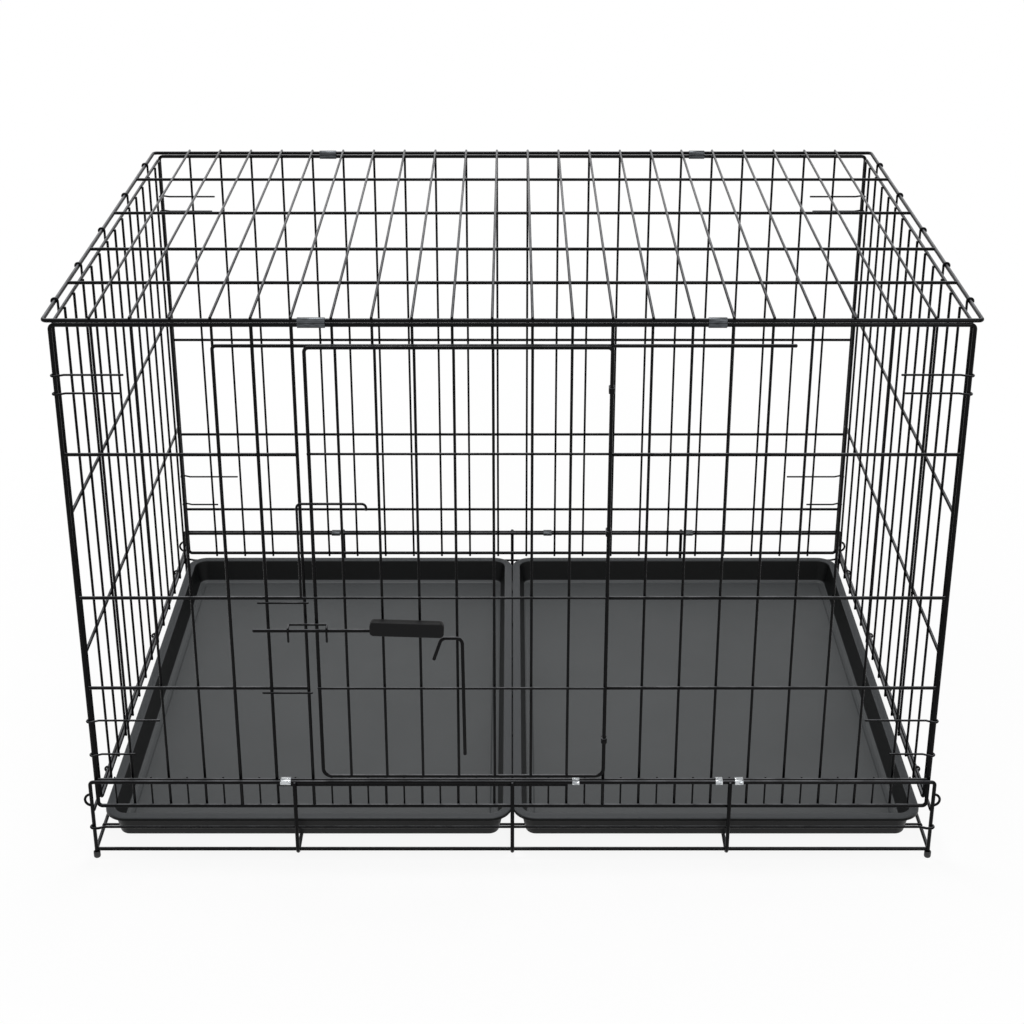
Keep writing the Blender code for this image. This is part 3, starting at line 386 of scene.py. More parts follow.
def with_cut_ends(points, radius, turns):
    """Points, radii and bends of an open wire whose ends are rounded off."""
    first = (points[1] - points[0]).normalized() * radius
    last = (points[-2] - points[-1]).normalized() * radius
    start = [(points[0], 0.5, 0), (points[0] + 0.2 * first, 0.82, 0), (points[0] + 0.6 * first, 1, 0)]
    stop = [(points[-1] + 0.6 * last, 1, 0), (points[-1] + 0.2 * last, 0.82, 0), (points[-1], 0.5, 0)]
    return start + [(p, 1, turn) for p, turn in zip(points[1:-1], turns[1:-1])] + stop


def path_mesh(wires):
    """A mesh of the wires' points and edges that carries their thickness and bends."""
    places, thick, bends, edges = [], [], [], []
    for points, radius, turns, closed in wires:
        whole = [(p, 1, turn) for p, turn in zip(points, turns)]
        ring = whole if closed else with_cut_ends(points, radius, turns)
        start = len(places)
        for place, share, turn in ring:
            places.append(place)
            thick.append(share * radius)
            bends.append(turn)
        edges += [(k, k + 1) for k in range(start, len(places) - 1)]
        if closed:
            edges.append((len(places) - 1, start))
    mesh = bpy.data.meshes.new("wire_paths")
    mesh.from_pydata(places, edges, [])
    for name, values in (("thickness", thick), ("bend", bends)):
        mesh.attributes.new(name, "FLOAT", "POINT").data.foreach_set("value", values)
    return mesh


def wires_of(wires, count=1, pitch=(0, 0, 0), sides=12, finish=coated_wire):
    """The finished mesh of some wires, repeated in a row."""
    values = {"Sides": sides, "Bend Steps": BEND_STEPS, "Wires": count, "Pitch": pitch, "Finish": finish}
    return grown(path_mesh(wires), wire_tree, wire_sockets, values)


trial = wires_of([wire([(0, 0, 0), (0, 0, 0.1)], 0.002)])
print("a straight wire has", len(trial.polygons), "faces")

# %% [markdown]
# Weld nuggets
#
# Where two wires cross, a press and a jolt of current melt them together. The metal that is squeezed out
# leaves a small bead round the crossing, and the coat fills its corners. A second tree puts one flattened
# bead at each of a cloud of points: there are hundreds, so each bead has only a few dozen faces.

# %% The tree of weld nuggets
weld_inputs = {"Half Size": "Vector", "Finish": "Material"}
weld_tree, weld_sockets, given = new_tree("weld_nuggets", "Crossings", weld_inputs)
bead = add(weld_tree, "GeometryNodeMeshIcoSphere", {"Radius": 1, "Subdivisions": 2})
beads = add(
    weld_tree,
    "GeometryNodeInstanceOnPoints",
    links={"Points": given["Crossings"], "Instance": bead.outputs["Mesh"], "Scale": given["Half Size"]},
)
end_tree(weld_tree, beads.outputs["Instances"], given["Finish"])


def welds_at(points, half_size):
    """Weld beads of one size at the given points."""
    mesh = bpy.data.meshes.new("crossings")
    mesh.from_pydata([Vector(p) for p in points], [], [])
    return grown(mesh, weld_tree, weld_sockets, {"Half Size": half_size, "Finish": coated_wire})


trial = welds_at([(0, 0, 0)], (0.002, 0.002, 0.001))
print("a weld bead has", len(trial.polygons), "faces")

# %% [markdown]
# Joining a piece and handing it over
#
# A piece is all the wires of one grille or fitting, joined into a single mesh at the origin. It is then hung
# on the body that it moves with, the solids of the model that it stands for are hidden, and it keeps the
# finish of its first mesh.


# %% Join and place
def mesh_from(shape, name, finish):
    """The mesh of a bmesh, with its finish. The bmesh is then no longer needed."""
    mesh = bpy.data.meshes.new(name)
    shape.to_mesh(mesh)
    shape.free()
    mesh.materials.append(finish)
    return mesh


def piece(name, meshes, body, nodes):
    """One object made of some meshes, which stands for some solids of the model."""
    shape = bmesh.new()
    for mesh in meshes:
        shape.from_mesh(mesh)
    joined = mesh_from(shape, name, meshes[0].materials[0])
    made = new_object(name, joined)
    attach(made, body)
    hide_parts(*nodes)
    triangles = sum(len(face.vertices) - 2 for face in joined.polygons)
    print(name, "rides on", body, "with", triangles, "triangles")


def arc(centre, radius, start, end, steps, across, up):
    """Points of an arc in the plane of two unit directions, with its angles in degrees."""
    turns = [radians(start + (end - start) * k / steps) for k in range(steps + 1)]
    return [Vector(centre) + radius * (cos(t) * across + sin(t) * up) for t in turns]


# %% [markdown]
# Sizes of the cage
#
# These are the model's own sizes, in metres. Every wire lies on a plane that follows from the thickness
# of its neighbours, because a welded wire sits on top of the one that it crosses. The front, marked -1,
# and the back, marked 1, have their lowest rods at different heights. The model's mesh wires all have
# WIRE_R. With their coat, uprights are a little thicker here and level bars thicker still, as they look in
# the picture, on the same centre lines. Two rods that are welded sink into each other by SINK, a level bar
# that weld beads join to its uprights lies a HAIR off them, and pieces that only touch keep PLAY.

# %% Thickness of rods and wires
FRAME_R, END_R, DOOR_R, POST_R = 0.0028, 0.0024, 0.0025, 0.00225
UPPER_ROD_R, LOWER_ROD_R, HINGE_BAR_R = 0.0024, 0.00235, 0.0026
WIRE_R, DOOR_BAR_R, MID_ROD_R, THIN_R, CURL_R = 0.00175, 0.0017, 0.0019, 0.0013, 0.0016
UPRIGHT_R, LEVEL_R = 0.0019, 0.0024
HAIRPIN_R, BOLT_R, GROUND_R = 0.0015, 0.0024, 0.0027
SINK, HAIR, PLAY = 0.0005, 0.0001, 0.0003
print("frame rods are", round(2000 * FRAME_R, 1), "mm thick and level bars", round(2000 * LEVEL_R, 1))

# %% Places of the grilles
ROOF_X, ROOF_Z, PANEL_X, PANEL_TOP = 0.6072, 0.8322, 0.5982, 0.8262
BAIL_Y, BASE_Y, PANEL_Y, MESH_Y = 0.4197, 0.4145, 0.4085, 0.40445
POST_X = PANEL_X + 0.008
BOTTOM = {-1: 0.085, 1: 0.072}
RIM = {-1: 0.129, 1: 0.112}
FRONT_BARS = (0.282, 0.4256, 0.642)
BACK_BARS = (0.162, 0.312, 0.494)
UPRIGHTS = 22
PITCH = 2 * PANEL_X / (UPRIGHTS + 1)


def plane_y(radius, weld):
    """How far from the middle a rod lies that is welded to the outside of the uprights."""
    return MESH_Y + WIRE_R - weld + radius


def wire_x(number):
    """Where an upright stands, counted from the left corner."""
    return -PANEL_X + number * PITCH


print("wires stand", round(PITCH * 1000, 1), "mm apart")

# %% Places of the door and the bolt
LEFT_POST, RIGHT_POST = 6, 14
BOLT_BEFORE_DOOR, BOLT_BELOW_BAR = 0.0135, 0.0401
LEFT_POST_X, RIGHT_POST_X = wire_x(LEFT_POST), wire_x(RIGHT_POST)
DOOR_LEFT, DOOR_RIGHT = LEFT_POST_X + 0.016, RIGHT_POST_X
DOOR_TOP, DOOR_BOTTOM = PANEL_TOP - 0.0292, 0.140
DOOR_Y = -(PANEL_Y + FRAME_R + DOOR_R + 0.001)
BOLT_Y = DOOR_Y - BOLT_BEFORE_DOOR
BOLT_HEIGHT = FRONT_BARS[1] - BOLT_BELOW_BAR
print("door is", round(DOOR_RIGHT - DOOR_LEFT, 3), "by", round(DOOR_TOP - DOOR_BOTTOM, 3), "m")

# %% [markdown]
# The base
#
# The base is the part that never folds: corner posts bent into a rim rod at the front and the back, a rod
# round the floor, three wide U-shaped bails below the trays, and floor wires that carry the trays. A mid
# rod at the front and the back is hooked round both of its corner posts, and an open loop guards each corner.

# %% Base frame
GROUND_Z, POST_FOOT_Z = 0.0141, 0.0035
BAIL_Z = GROUND_Z - (FRAME_R + GROUND_R - SINK)
FLOOR_Z = GROUND_Z + GROUND_R + WIRE_R - SINK
CORNER_BEND, BAIL_BEND = 0.005, 0.010
BAIL_OVER_RIM = 0.0025
BAILS = (5.5, 11.5, 17.5)
FLOOR_PITCH = 0.12
FLOOR_YS = [number * FLOOR_PITCH for number in range(-3, 4)]
base = []
for front in (-1, 1):
    y = front * BASE_Y
    corners = [(-POST_X, y, POST_FOOT_Z), (-POST_X, y, RIM[front])]
    corners += [(POST_X, y, RIM[front]), (POST_X, y, POST_FOOT_Z)]
    base.append(wires_of([wire(corners, FRAME_R, CORNER_BEND)], sides=16))
corners = [(-POST_X, -BASE_Y, GROUND_Z), (POST_X, -BASE_Y, GROUND_Z)]
corners += [(POST_X, BASE_Y, GROUND_Z), (-POST_X, BASE_Y, GROUND_Z)]
base.append(wires_of([wire(corners, GROUND_R, CORNER_BEND, closed=True)], sides=16))
x = wire_x(BAILS[0])
bail = [(x, -BAIL_Y, RIM[-1] + BAIL_OVER_RIM), (x, -BAIL_Y, BAIL_Z)]
bail += [(x, BAIL_Y, BAIL_Z), (x, BAIL_Y, RIM[1] + BAIL_OVER_RIM)]
bail_pitch = (BAILS[1] - BAILS[0]) * PITCH
base.append(wires_of([wire(bail, FRAME_R, BAIL_BEND)], len(BAILS), (bail_pitch, 0, 0), sides=16))
reach, y = POST_X + WIRE_R, FLOOR_YS[0]
floor_wire = wire([(-reach, y, FLOOR_Z), (reach, y, FLOOR_Z)], WIRE_R)
base.append(wires_of([floor_wire], len(FLOOR_YS), (0, FLOOR_PITCH, 0)))
print("base so far", len(base), "meshes")

# %% Hooks, loops and side rims of the base
MID_Z, RIM_Z, RIM_X = 0.053, 0.082, POST_X - 0.002
MID_Y = BAIL_Y - (FRAME_R + MID_ROD_R - 0.00045)
HOOK_R = FRAME_R + MID_ROD_R - 0.0002
BEFORE_STEP, BEFORE_HOOK = 0.016, 0.006
LOOP_R, LOOP_BELOW_RIM = 0.0094, 0.030
fittings = []
for front in (-1, 1):
    mid = [Vector((0, front * MID_Y, MID_Z))]
    for side in (1, -1):
        centre = (side * POST_X, front * BASE_Y, MID_Z)
        hook = arc(centre, HOOK_R, 90, -60, 14, side * X, front * Y)
        lead = [Vector((side * (POST_X - BEFORE_STEP), front * MID_Y, MID_Z))]
        lead.append(Vector((side * (POST_X - BEFORE_HOOK), front * (BASE_Y + HOOK_R), MID_Z)))
        mid = mid[::-1] + lead + hook
    fittings.append(wire(mid, MID_ROD_R))
    for side in (-1, 1):
        centre = (side * POST_X, front * BASE_Y, RIM[front] - LOOP_BELOW_RIM)
        fittings.append(wire(arc(centre, LOOP_R, -90, 90, 16, side * X, Z), MID_ROD_R))
for x in (-RIM_X, RIM_X):
    ends = [(x, -BASE_Y - THIN_R, RIM_Z), (x, BASE_Y + THIN_R, RIM_Z)]
    fittings.append(wire(ends, END_R))
base.append(wires_of(fittings, sides=14))
crossings = [(side * POST_X, y, FLOOR_Z - WIRE_R) for y in FLOOR_YS for side in (-1, 1)]
crossings += [(wire_x(number), y, FLOOR_Z - WIRE_R) for number in BAILS for y in FLOOR_YS]
crossings += [(side * POST_X, front * BASE_Y, GROUND_Z) for side in (-1, 1) for front in (-1, 1)]
base.append(welds_at(crossings, (0.003, 0.003, 0.0022)))
nodes = ["base_front_side", "base_back_side", "base_floor", "base_left_rim", "base_right_rim"]
nodes += [f"base_bail_{n}" for n in (1, 2, 3)]
piece("base_wires", base, "crate", nodes)

# %% [markdown]
# The feet
#
# Each foot is a small rubber bullet pushed onto the cut end of a corner post. It is a turned shape: one
# half of its section, spun round the post, with the hollow left open for the wire. The section's points
# are a radius and a height each, from the hollow's roof over the rim and down to the sole.

# %% Rubber feet
FOOT_R, FOOT_TALL, FOOT_STEPS = 0.005, 0.0105, 32
HOLLOW_R, HOLLOW_Z = FRAME_R + PLAY, POST_FOOT_Z - PLAY
section = [
    (HOLLOW_R, HOLLOW_Z),
    (HOLLOW_R, FOOT_TALL - 0.0004),
    (HOLLOW_R + 0.0003, FOOT_TALL),
    (FOOT_R - 0.0012, FOOT_TALL),
    (FOOT_R - 0.0004, FOOT_TALL - 0.0004),
    (FOOT_R, FOOT_TALL - 0.0014),
    (FOOT_R, 0.0024),
    (FOOT_R - 0.0003, 0.0013),
    (FOOT_R - 0.0009, 0.0005),
    (FOOT_R - 0.0018, 0.0),
]


def foot_mesh(centre):
    """One turned foot with its hollow."""
    shape = bmesh.new()
    rings = []
    for step in range(FOOT_STEPS):
        turn = 2 * pi * step / FOOT_STEPS
        out = Vector((cos(turn), sin(turn), 0))
        rings.append([shape.verts.new(Vector(centre) + r * out + h * Z) for r, h in section])
    for k, near in enumerate(rings):
        far = rings[(k + 1) % FOOT_STEPS]
        for i in range(len(section) - 1):
            shape.faces.new((near[i], far[i], far[i + 1], near[i + 1]))
    shape.faces.new([ring[0] for ring in rings])
    shape.faces.new([ring[-1] for ring in reversed(rings)])
    bmesh.ops.recalc_face_normals(shape, faces=shape.faces)
    for face in shape.faces:
        face.smooth = len(face.verts) == 4
    return mesh_from(shape, "foot", foot_rubber)


for end, front in (("front", -1), ("back", 1)):
    for hand, side in (("left", -1), ("right", 1)):
        mesh = foot_mesh((side * POST_X, front * BASE_Y, 0))
        piece(f"rubber_foot_{end}_{hand}", [mesh], "crate", [f"foot_{end}_{hand}"])

# %% [markdown]
# The long panels
#
# The front and back panels are grilles: a bent outer rod, uprights welded behind it at an even pitch, level
# bars in front of them, and a thicker bar low down that the clips turn on. At the corners short level wires
# step out and hook round the side rod, as the mid rods of the base hook round its posts. Rows of uprights
# come from the wire tree with a count and a pitch.

# %% Parts that both long panels have
ALL_UPRIGHTS = range(1, UPRIGHTS + 1)
TAIL = 0.0045
TAIL_Z = {front: low - TAIL for front, low in BOTTOM.items()}
UPRIGHT_TOP = PANEL_TOP + FRAME_R / 2
BAR_Y = plane_y(WIRE_R, weld=-HAIR)
HINGE_BAR_Y = plane_y(HINGE_BAR_R, weld=0.00035)
HAIRPIN_Y = plane_y(HAIRPIN_R, weld=0.0003)
CORNER_WIRES = ((0.756, 0.090), (0.730, 0.084), (0.228, 0.099), (0.172, 0.060))
BEFORE_CORNER = 0.012
PANEL_BEND = 0.006


def upright_row(front, first, count, low, high):
    """A row of equal uprights that starts at a wire number."""
    x, y = wire_x(first), front * MESH_Y
    return wires_of([wire([(x, y, low), (x, y, high)], UPRIGHT_R)], count, (PITCH, 0, 0))


def long_panel_rods(front, bars, spans):
    """The outer rod, the level bars, the hinge bar and the hooked corner wires of a long panel."""
    y = front * PANEL_Y
    corners = [(-PANEL_X, y, BOTTOM[front]), (PANEL_X, y, BOTTOM[front])]
    corners += [(PANEL_X, y, PANEL_TOP), (-PANEL_X, y, PANEL_TOP)]
    outer = wires_of([wire(corners, FRAME_R, PANEL_BEND, closed=True)], sides=16)
    y = front * BAR_Y
    level = [wire([(left, y, z), (right, y, z)], LEVEL_R) for z in bars for left, right in spans]
    ends = [(side * PANEL_X, front * HINGE_BAR_Y, RIM[front]) for side in (-1, 1)]
    level.append(wire(ends, HINGE_BAR_R))
    for side in (-1, 1):
        for z, length in CORNER_WIRES:
            insets = (length, BEFORE_CORNER)
            hooked = [Vector((side * (PANEL_X - inset), front * HAIRPIN_Y, z)) for inset in insets]
            centre = (side * PANEL_X, front * PANEL_Y, z)
            hooked += arc(centre, FRAME_R + HAIRPIN_R + HAIR, 90, -120, 16, side * X, front * Y)
            level.append(wire(hooked, HAIRPIN_R))
    return [outer, wires_of(level)]


def crossings_of(front, numbers, heights):
    """Where uprights meet level bars, between the two."""
    y = front * (MESH_Y + WIRE_R)
    return [(wire_x(n), y, z) for n in numbers for z in heights]


NUGGET, SMALL_NUGGET = (0.0021, 0.0012, 0.0021), (0.0016, 0.0011, 0.0016)
print("uprights from", TAIL_Z, "to", UPRIGHT_TOP)

# %% Back panel
grille = long_panel_rods(1, BACK_BARS, [(-PANEL_X, PANEL_X)])
grille.append(upright_row(1, 1, UPRIGHTS, TAIL_Z[1], UPRIGHT_TOP))
heights = (BOTTOM[1], RIM[1], *BACK_BARS, PANEL_TOP)
grille.append(welds_at(crossings_of(1, ALL_UPRIGHTS, heights), NUGGET))
piece("back_wires", grille, "crate", ["back_panel"])

# %% [markdown]
# The front panel
#
# The front has an opening for the door. Two posts stand beside it, and two bent rods run round it and
# carry the load that the missing wires can't: one over the top, and one under the sill. They take the
# places of uprights 4 and 5. Thin wires at half the pitch close the low band, so that a paw doesn't slip
# through. Each row of uprights has its first number, its count, and the heights of its two ends.

# %% Front panel
grille = long_panel_rods(-1, FRONT_BARS, [(-PANEL_X, LEFT_POST_X), (RIGHT_POST_X, PANEL_X)])
OVER_ROD, UNDER_ROD = 4, 5
OVER_DOOR = DOOR_TOP - 2 * WIRE_R
LOW, SILL = TAIL_Z[-1], RIM[-1] + HINGE_BAR_R
for first, count, low, high in (
    (1, 3, LOW, UPRIGHT_TOP),
    (RIGHT_POST + 1, 8, LOW, UPRIGHT_TOP),
    (LEFT_POST + 1, 7, OVER_DOOR, UPRIGHT_TOP),
    (LEFT_POST + 1, 7, LOW, SILL),
    (OVER_ROD, 1, OVER_DOOR, UPRIGHT_TOP),
    (UNDER_ROD, 1, LOW, SILL),
):
    grille.append(upright_row(-1, first, count, low, high))
HALVES = [number + 0.5 for number in range(UPRIGHTS + 1)]
x, y = wire_x(HALVES[0]), -(MESH_Y + WIRE_R - THIN_R)
thin = wire([(x, y, LOW), (x, y, RIM[-1] + FRAME_R)], THIN_R)
grille.append(wires_of([thin], len(HALVES), (PITCH, 0, 0), sides=10))
print("front has", len(grille), "meshes before the rods round the door")

# %% Rods round the door opening
OVER_PAST_POST, UNDER_SHORT_OF_POST, UNDER_BELOW_RIM = 0.240, 0.052, 0.008
TIE_PAST_ROD, TIE_PAST_POST, TIE_BELOW_BAR, TIE_SINK = 0.013, 0.006, 0.006, 0.0003
y, x = -plane_y(UPPER_ROD_R, weld=0.00045), wire_x(OVER_ROD)
over = [(x, y, BOTTOM[-1]), (x, y, DOOR_TOP), (RIGHT_POST_X + OVER_PAST_POST, y, DOOR_TOP)]
rods = [wire(over, UPPER_ROD_R, CORNER_BEND)]
y, x, z = -plane_y(LOWER_ROD_R, weld=0.00022), wire_x(UNDER_ROD), RIM[-1] - UNDER_BELOW_RIM
under = [(x, y, PANEL_TOP), (x, y, z), (RIGHT_POST_X - UNDER_SHORT_OF_POST, y, z)]
rods.append(wire(under, LOWER_ROD_R, CORNER_BEND))
post_y = -plane_y(POST_R, weld=0.0004)
for x in (LEFT_POST_X, RIGHT_POST_X):
    rods.append(wire([(x, post_y, BOTTOM[-1]), (x, post_y, PANEL_TOP)], POST_R))
tie_y = post_y - (POST_R + HAIRPIN_R - TIE_SINK)
for bar in FRONT_BARS[:2]:
    z = bar - TIE_BELOW_BAR
    ends = [(wire_x(UNDER_ROD) - TIE_PAST_ROD, tie_y, z), (LEFT_POST_X + TIE_PAST_POST, tie_y, z)]
    rods.append(wire(ends, HAIRPIN_R))
grille.append(wires_of(rods, sides=14))
print("front so far", len(grille), "meshes")

# %% Welds of the front panel
beside_door = [n for n in ALL_UPRIGHTS if n < OVER_ROD or n > RIGHT_POST]
at_top = [n for n in ALL_UPRIGHTS if n not in (UNDER_ROD, LEFT_POST, RIGHT_POST)]
crossings = crossings_of(-1, ALL_UPRIGHTS, (BOTTOM[-1], RIM[-1]))
crossings += crossings_of(-1, beside_door, FRONT_BARS)
crossings += crossings_of(-1, at_top, (PANEL_TOP,))
crossings += crossings_of(-1, range(LEFT_POST + 1, RIGHT_POST), (DOOR_TOP,))
grille.append(welds_at(crossings, NUGGET))
grille.append(welds_at(crossings_of(-1, HALVES, (BOTTOM[-1], RIM[-1])), SMALL_NUGGET))
nodes = [f"front_{part}_section" for part in ("left", "right", "sill", "header")]
piece("front_wires", grille, "crate", nodes)

# %% [markdown]
# The roof
#
# The roof is a third grille, laid over the two long panels. Its crosswise wires lie on top, its lengthwise
# wires hang below them, and short hooks are curled over the side rods. On the real crate these hooks belong
# to the folding ends and hold them upright. Here they stay with the roof, so that an end can fold alone.
# The long wires stand at shares of the depth, counted from the front.

# %% Roof
ROOF_BARS = (0.18, 0.36, 0.575, 0.80)
HOOK_LEG = 0.014
cross_z = ROOF_Z + FRAME_R + WIRE_R - SINK
long_z = cross_z - (2 * WIRE_R + HAIR)
corners = [(-ROOF_X, -PANEL_Y, ROOF_Z), (ROOF_X, -PANEL_Y, ROOF_Z)]
corners += [(ROOF_X, PANEL_Y, ROOF_Z), (-ROOF_X, PANEL_Y, ROOF_Z)]
roof = [wires_of([wire(corners, FRAME_R, PANEL_BEND, closed=True)], sides=16)]
x, reach = wire_x(1), PANEL_Y + FRAME_R
z = cross_z + WIRE_R - UPRIGHT_R
roof.append(wires_of([wire([(x, -reach, z), (x, reach, z)], UPRIGHT_R)], UPRIGHTS, (PITCH, 0, 0)))
bar_places = [(2 * share - 1) * PANEL_Y for share in ROOF_BARS]
long_wires = [wire([(-ROOF_X, y, long_z), (ROOF_X, y, long_z)], LEVEL_R) for y in bar_places]
edges = [-PANEL_Y] + bar_places + [PANEL_Y]
for near, far in zip(edges, edges[1:]):
    for side in (-1, 1):
        centre = (side * ROOF_X, (near + far) / 2, ROOF_Z)
        curl = arc(centre, FRAME_R + WIRE_R - SINK, -40, 180, 18, side * X, Z)
        curl.append(curl[-1] - HOOK_LEG * Z)
        long_wires.append(wire(curl, WIRE_R))
roof.append(wires_of(long_wires))
crossings = [(wire_x(n), y, (cross_z + long_z) / 2) for n in ALL_UPRIGHTS for y in bar_places]
crossings += [(wire_x(n), side * PANEL_Y, ROOF_Z + FRAME_R) for n in ALL_UPRIGHTS for side in (-1, 1)]
roof.append(welds_at(crossings, (0.0021, 0.0021, 0.0012)))
piece("roof_wires", roof, "crate", ["top_panel"])

# %% [markdown]
# The folding ends
#
# Each end is a lighter grille that swings inwards on the side rim of the base. Four short wires go down
# from its frame and are curled round the rim: a hinge made of nothing but wire.

# %% Folding ends
END_SIDE_PLAY, ABOVE_RIM, BELOW_TOP, INSIDE_PANEL = 0.0043, 0.006, 0.0012, 0.0012
END_HALF = MESH_Y - WIRE_R - END_R - END_SIDE_PLAY
END_LOW, END_HIGH = RIM_Z + ABOVE_RIM, PANEL_TOP - BELOW_TOP
END_UPRIGHTS = 13
END_PITCH = 2 * END_HALF / (END_UPRIGHTS + 1)
END_BEND = 0.010
END_BARS = (0.334, 0.551)
CURLS = (1.5, 5.5, 8.5, 12.5)
CURL_PLAY = 0.0004


def end_grille(name, side, body, node):
    """One folding end with its four curled hinges."""
    x = side * (PANEL_X - INSIDE_PANEL)
    mesh_x = x - side * (END_R + WIRE_R - SINK)
    bar_x = mesh_x + side * (2 * WIRE_R + HAIR)
    corners = [(x, -END_HALF, END_LOW), (x, END_HALF, END_LOW)]
    corners += [(x, END_HALF, END_HIGH), (x, -END_HALF, END_HIGH)]
    parts = [wires_of([wire(corners, END_R, END_BEND, closed=True)], sides=16)]
    first = (mesh_x, END_PITCH - END_HALF, END_LOW - END_R)
    last = (mesh_x, END_PITCH - END_HALF, END_HIGH + END_R / 2)
    parts.append(wires_of([wire([first, last], UPRIGHT_R)], END_UPRIGHTS, (0, END_PITCH, 0)))
    level = [wire([(bar_x, -END_HALF, z), (bar_x, END_HALF, z)], LEVEL_R) for z in END_BARS]
    axis = Vector((side * RIM_X, 0, RIM_Z))
    tail = Vector((x, 0, END_LOW)) - axis
    start = degrees(atan2(tail.z, -side * tail.x))
    for number in CURLS:
        centre = axis + (number * END_PITCH - END_HALF) * Y
        ring = arc(centre, END_R + CURL_PLAY + CURL_R, start, start + 300, 28, -side * X, Z)
        level.append(wire([centre + tail] + ring, CURL_R))
    parts.append(wires_of(level))
    contact = mesh_x + side * WIRE_R
    heights = (END_LOW, *END_BARS, END_HIGH)
    places = [(n + 1) * END_PITCH - END_HALF for n in range(END_UPRIGHTS)]
    crossings = [(contact, y, z) for y in places for z in heights]
    parts.append(welds_at(crossings, (0.0012, 0.0021, 0.0021)))
    piece(name, parts, body, [node])


end_grille("left_end_wires", -1, "left_end", "left_end_panel")
end_grille("right_end_wires", 1, "right_end", "right_end_panel")

# %% [markdown]
# The door
#
# The door is one bent rod with uprights inside it and bars across. Its right rod stands right in front of
# the right post and is the hinge's axis. A bent wire beside the latch overlaps the left post, so that the
# door can't be pushed in, and the middle bar sticks out to the left for the same reason. The staple that
# guides the bolt and the bent keeper below it are wires too.

# %% Door
BAR_ABOVE_FRONT_BAR = 0.0055
BAR_PAST_ROD = 0.021
DOOR_UPRIGHTS, FIRST_INSET, LAST_INSET = 7, 0.040, 0.0525
WIDE_BEND, CLOSE_BEND = 0.012, 0.006
bar_y = DOOR_Y - (WIRE_R + DOOR_BAR_R + HAIR)
bar_heights = [z + BAR_ABOVE_FRONT_BAR for z in FRONT_BARS]
corners = [(DOOR_LEFT, DOOR_Y, DOOR_BOTTOM), (DOOR_RIGHT, DOOR_Y, DOOR_BOTTOM)]
corners += [(DOOR_RIGHT, DOOR_Y, DOOR_TOP), (DOOR_LEFT, DOOR_Y, DOOR_TOP)]
bends = (WIDE_BEND, WIDE_BEND, CLOSE_BEND, CLOSE_BEND)
door = [wires_of([wire(corners, DOOR_R, bends, closed=True)], sides=16)]
door_pitch = (DOOR_RIGHT - LAST_INSET - DOOR_LEFT - FIRST_INSET) / (DOOR_UPRIGHTS - 1)
x = DOOR_LEFT + FIRST_INSET
upright = wire([(x, DOOR_Y, DOOR_BOTTOM), (x, DOOR_Y, DOOR_TOP)], UPRIGHT_R)
door.append(wires_of([upright], DOOR_UPRIGHTS, (door_pitch, 0, 0)))
bars = []
for z in bar_heights:
    left = DOOR_LEFT - (BAR_PAST_ROD if z == bar_heights[1] else DOOR_R)
    bars.append(wire([(left, bar_y, z), (DOOR_RIGHT - DOOR_BAR_R / 2, bar_y, z)], DOOR_BAR_R))
door.append(wires_of(bars))
contact = DOOR_Y - WIRE_R
crossings = [(x + n * door_pitch, contact, z) for n in range(DOOR_UPRIGHTS) for z in bar_heights]
crossings += [(DOOR_LEFT, contact, z) for z in bar_heights]
door.append(welds_at(crossings, (0.0021, 0.0011, 0.0021)))
piece("door_wires", door, "door", ["front_door"])

# %% Door stop
GRIP_X = DOOR_LEFT + 0.074
STOP_ABOVE_BAR, STOP_TIP = 0.149, 0.010
y, x = DOOR_Y - (DOOR_R + WIRE_R + PLAY), DOOR_LEFT - BAR_PAST_ROD + WIRE_R
low, high = bar_heights[1] + DOOR_BAR_R + PLAY, FRONT_BARS[1] + STOP_ABOVE_BAR
corners = [(x, y, low), (x, y, high), (GRIP_X, y, high), (GRIP_X, y, high - STOP_TIP)]
piece("stop_wire", [wires_of([wire(corners, WIRE_R, CLOSE_BEND)])], "door", ["door_stop"])

# %% Guide of the bolt
GUIDE_PLAY, GUIDE_LEG = 0.0004, 0.014
GUIDE_XS = (DOOR_LEFT - 0.038, DOOR_LEFT + 0.015)
BENT_R = CURL_R * 0.97
y, z = DOOR_Y - (DOOR_R + CURL_R + PLAY), BOLT_HEIGHT + BOLT_R + CURL_R + GUIDE_PLAY
hooks = [wire([(GUIDE_XS[0] - CURL_R / 2, y, z), (GUIDE_XS[1] + CURL_R / 2, y, z)], CURL_R)]
for x in GUIDE_XS:
    over = arc((x, BOLT_Y, BOLT_HEIGHT), BOLT_R + GUIDE_PLAY + CURL_R, 90, 180, 10, Y, Z)
    leg = over[-1] - GUIDE_LEG * Z
    tip = leg + CURL_R * 1.5 * (Y - Z)
    hooks.append(wire([(x, y, z)] + over + [leg, tip], BENT_R))
piece("guide_wire", [wires_of(hooks)], "door", ["latch_guide"])

# %% Keeper
KEEPER_LEFT, KEEPER_RIGHT = DOOR_LEFT + 0.161, DOOR_LEFT + 0.203
KEEPER_TOP, KEEPER_BOTTOM, KEEPER_TIP, KEEPER_BEND = BOLT_HEIGHT - 0.015, 0.181, 0.0345, 0.009
y = bar_y - (DOOR_BAR_R + BOLT_R + PLAY)
corners = [(KEEPER_LEFT, y, KEEPER_TOP - KEEPER_TIP), (KEEPER_LEFT + 0.0112, y, KEEPER_TOP)]
corners += [(KEEPER_RIGHT - 0.0021, y, KEEPER_TOP), (KEEPER_RIGHT, y, KEEPER_BOTTOM)]
keeper = wires_of([wire(corners, BOLT_R, KEEPER_BEND)], sides=16)
piece("keeper_wire", [keeper], "door", ["latch_keeper"])

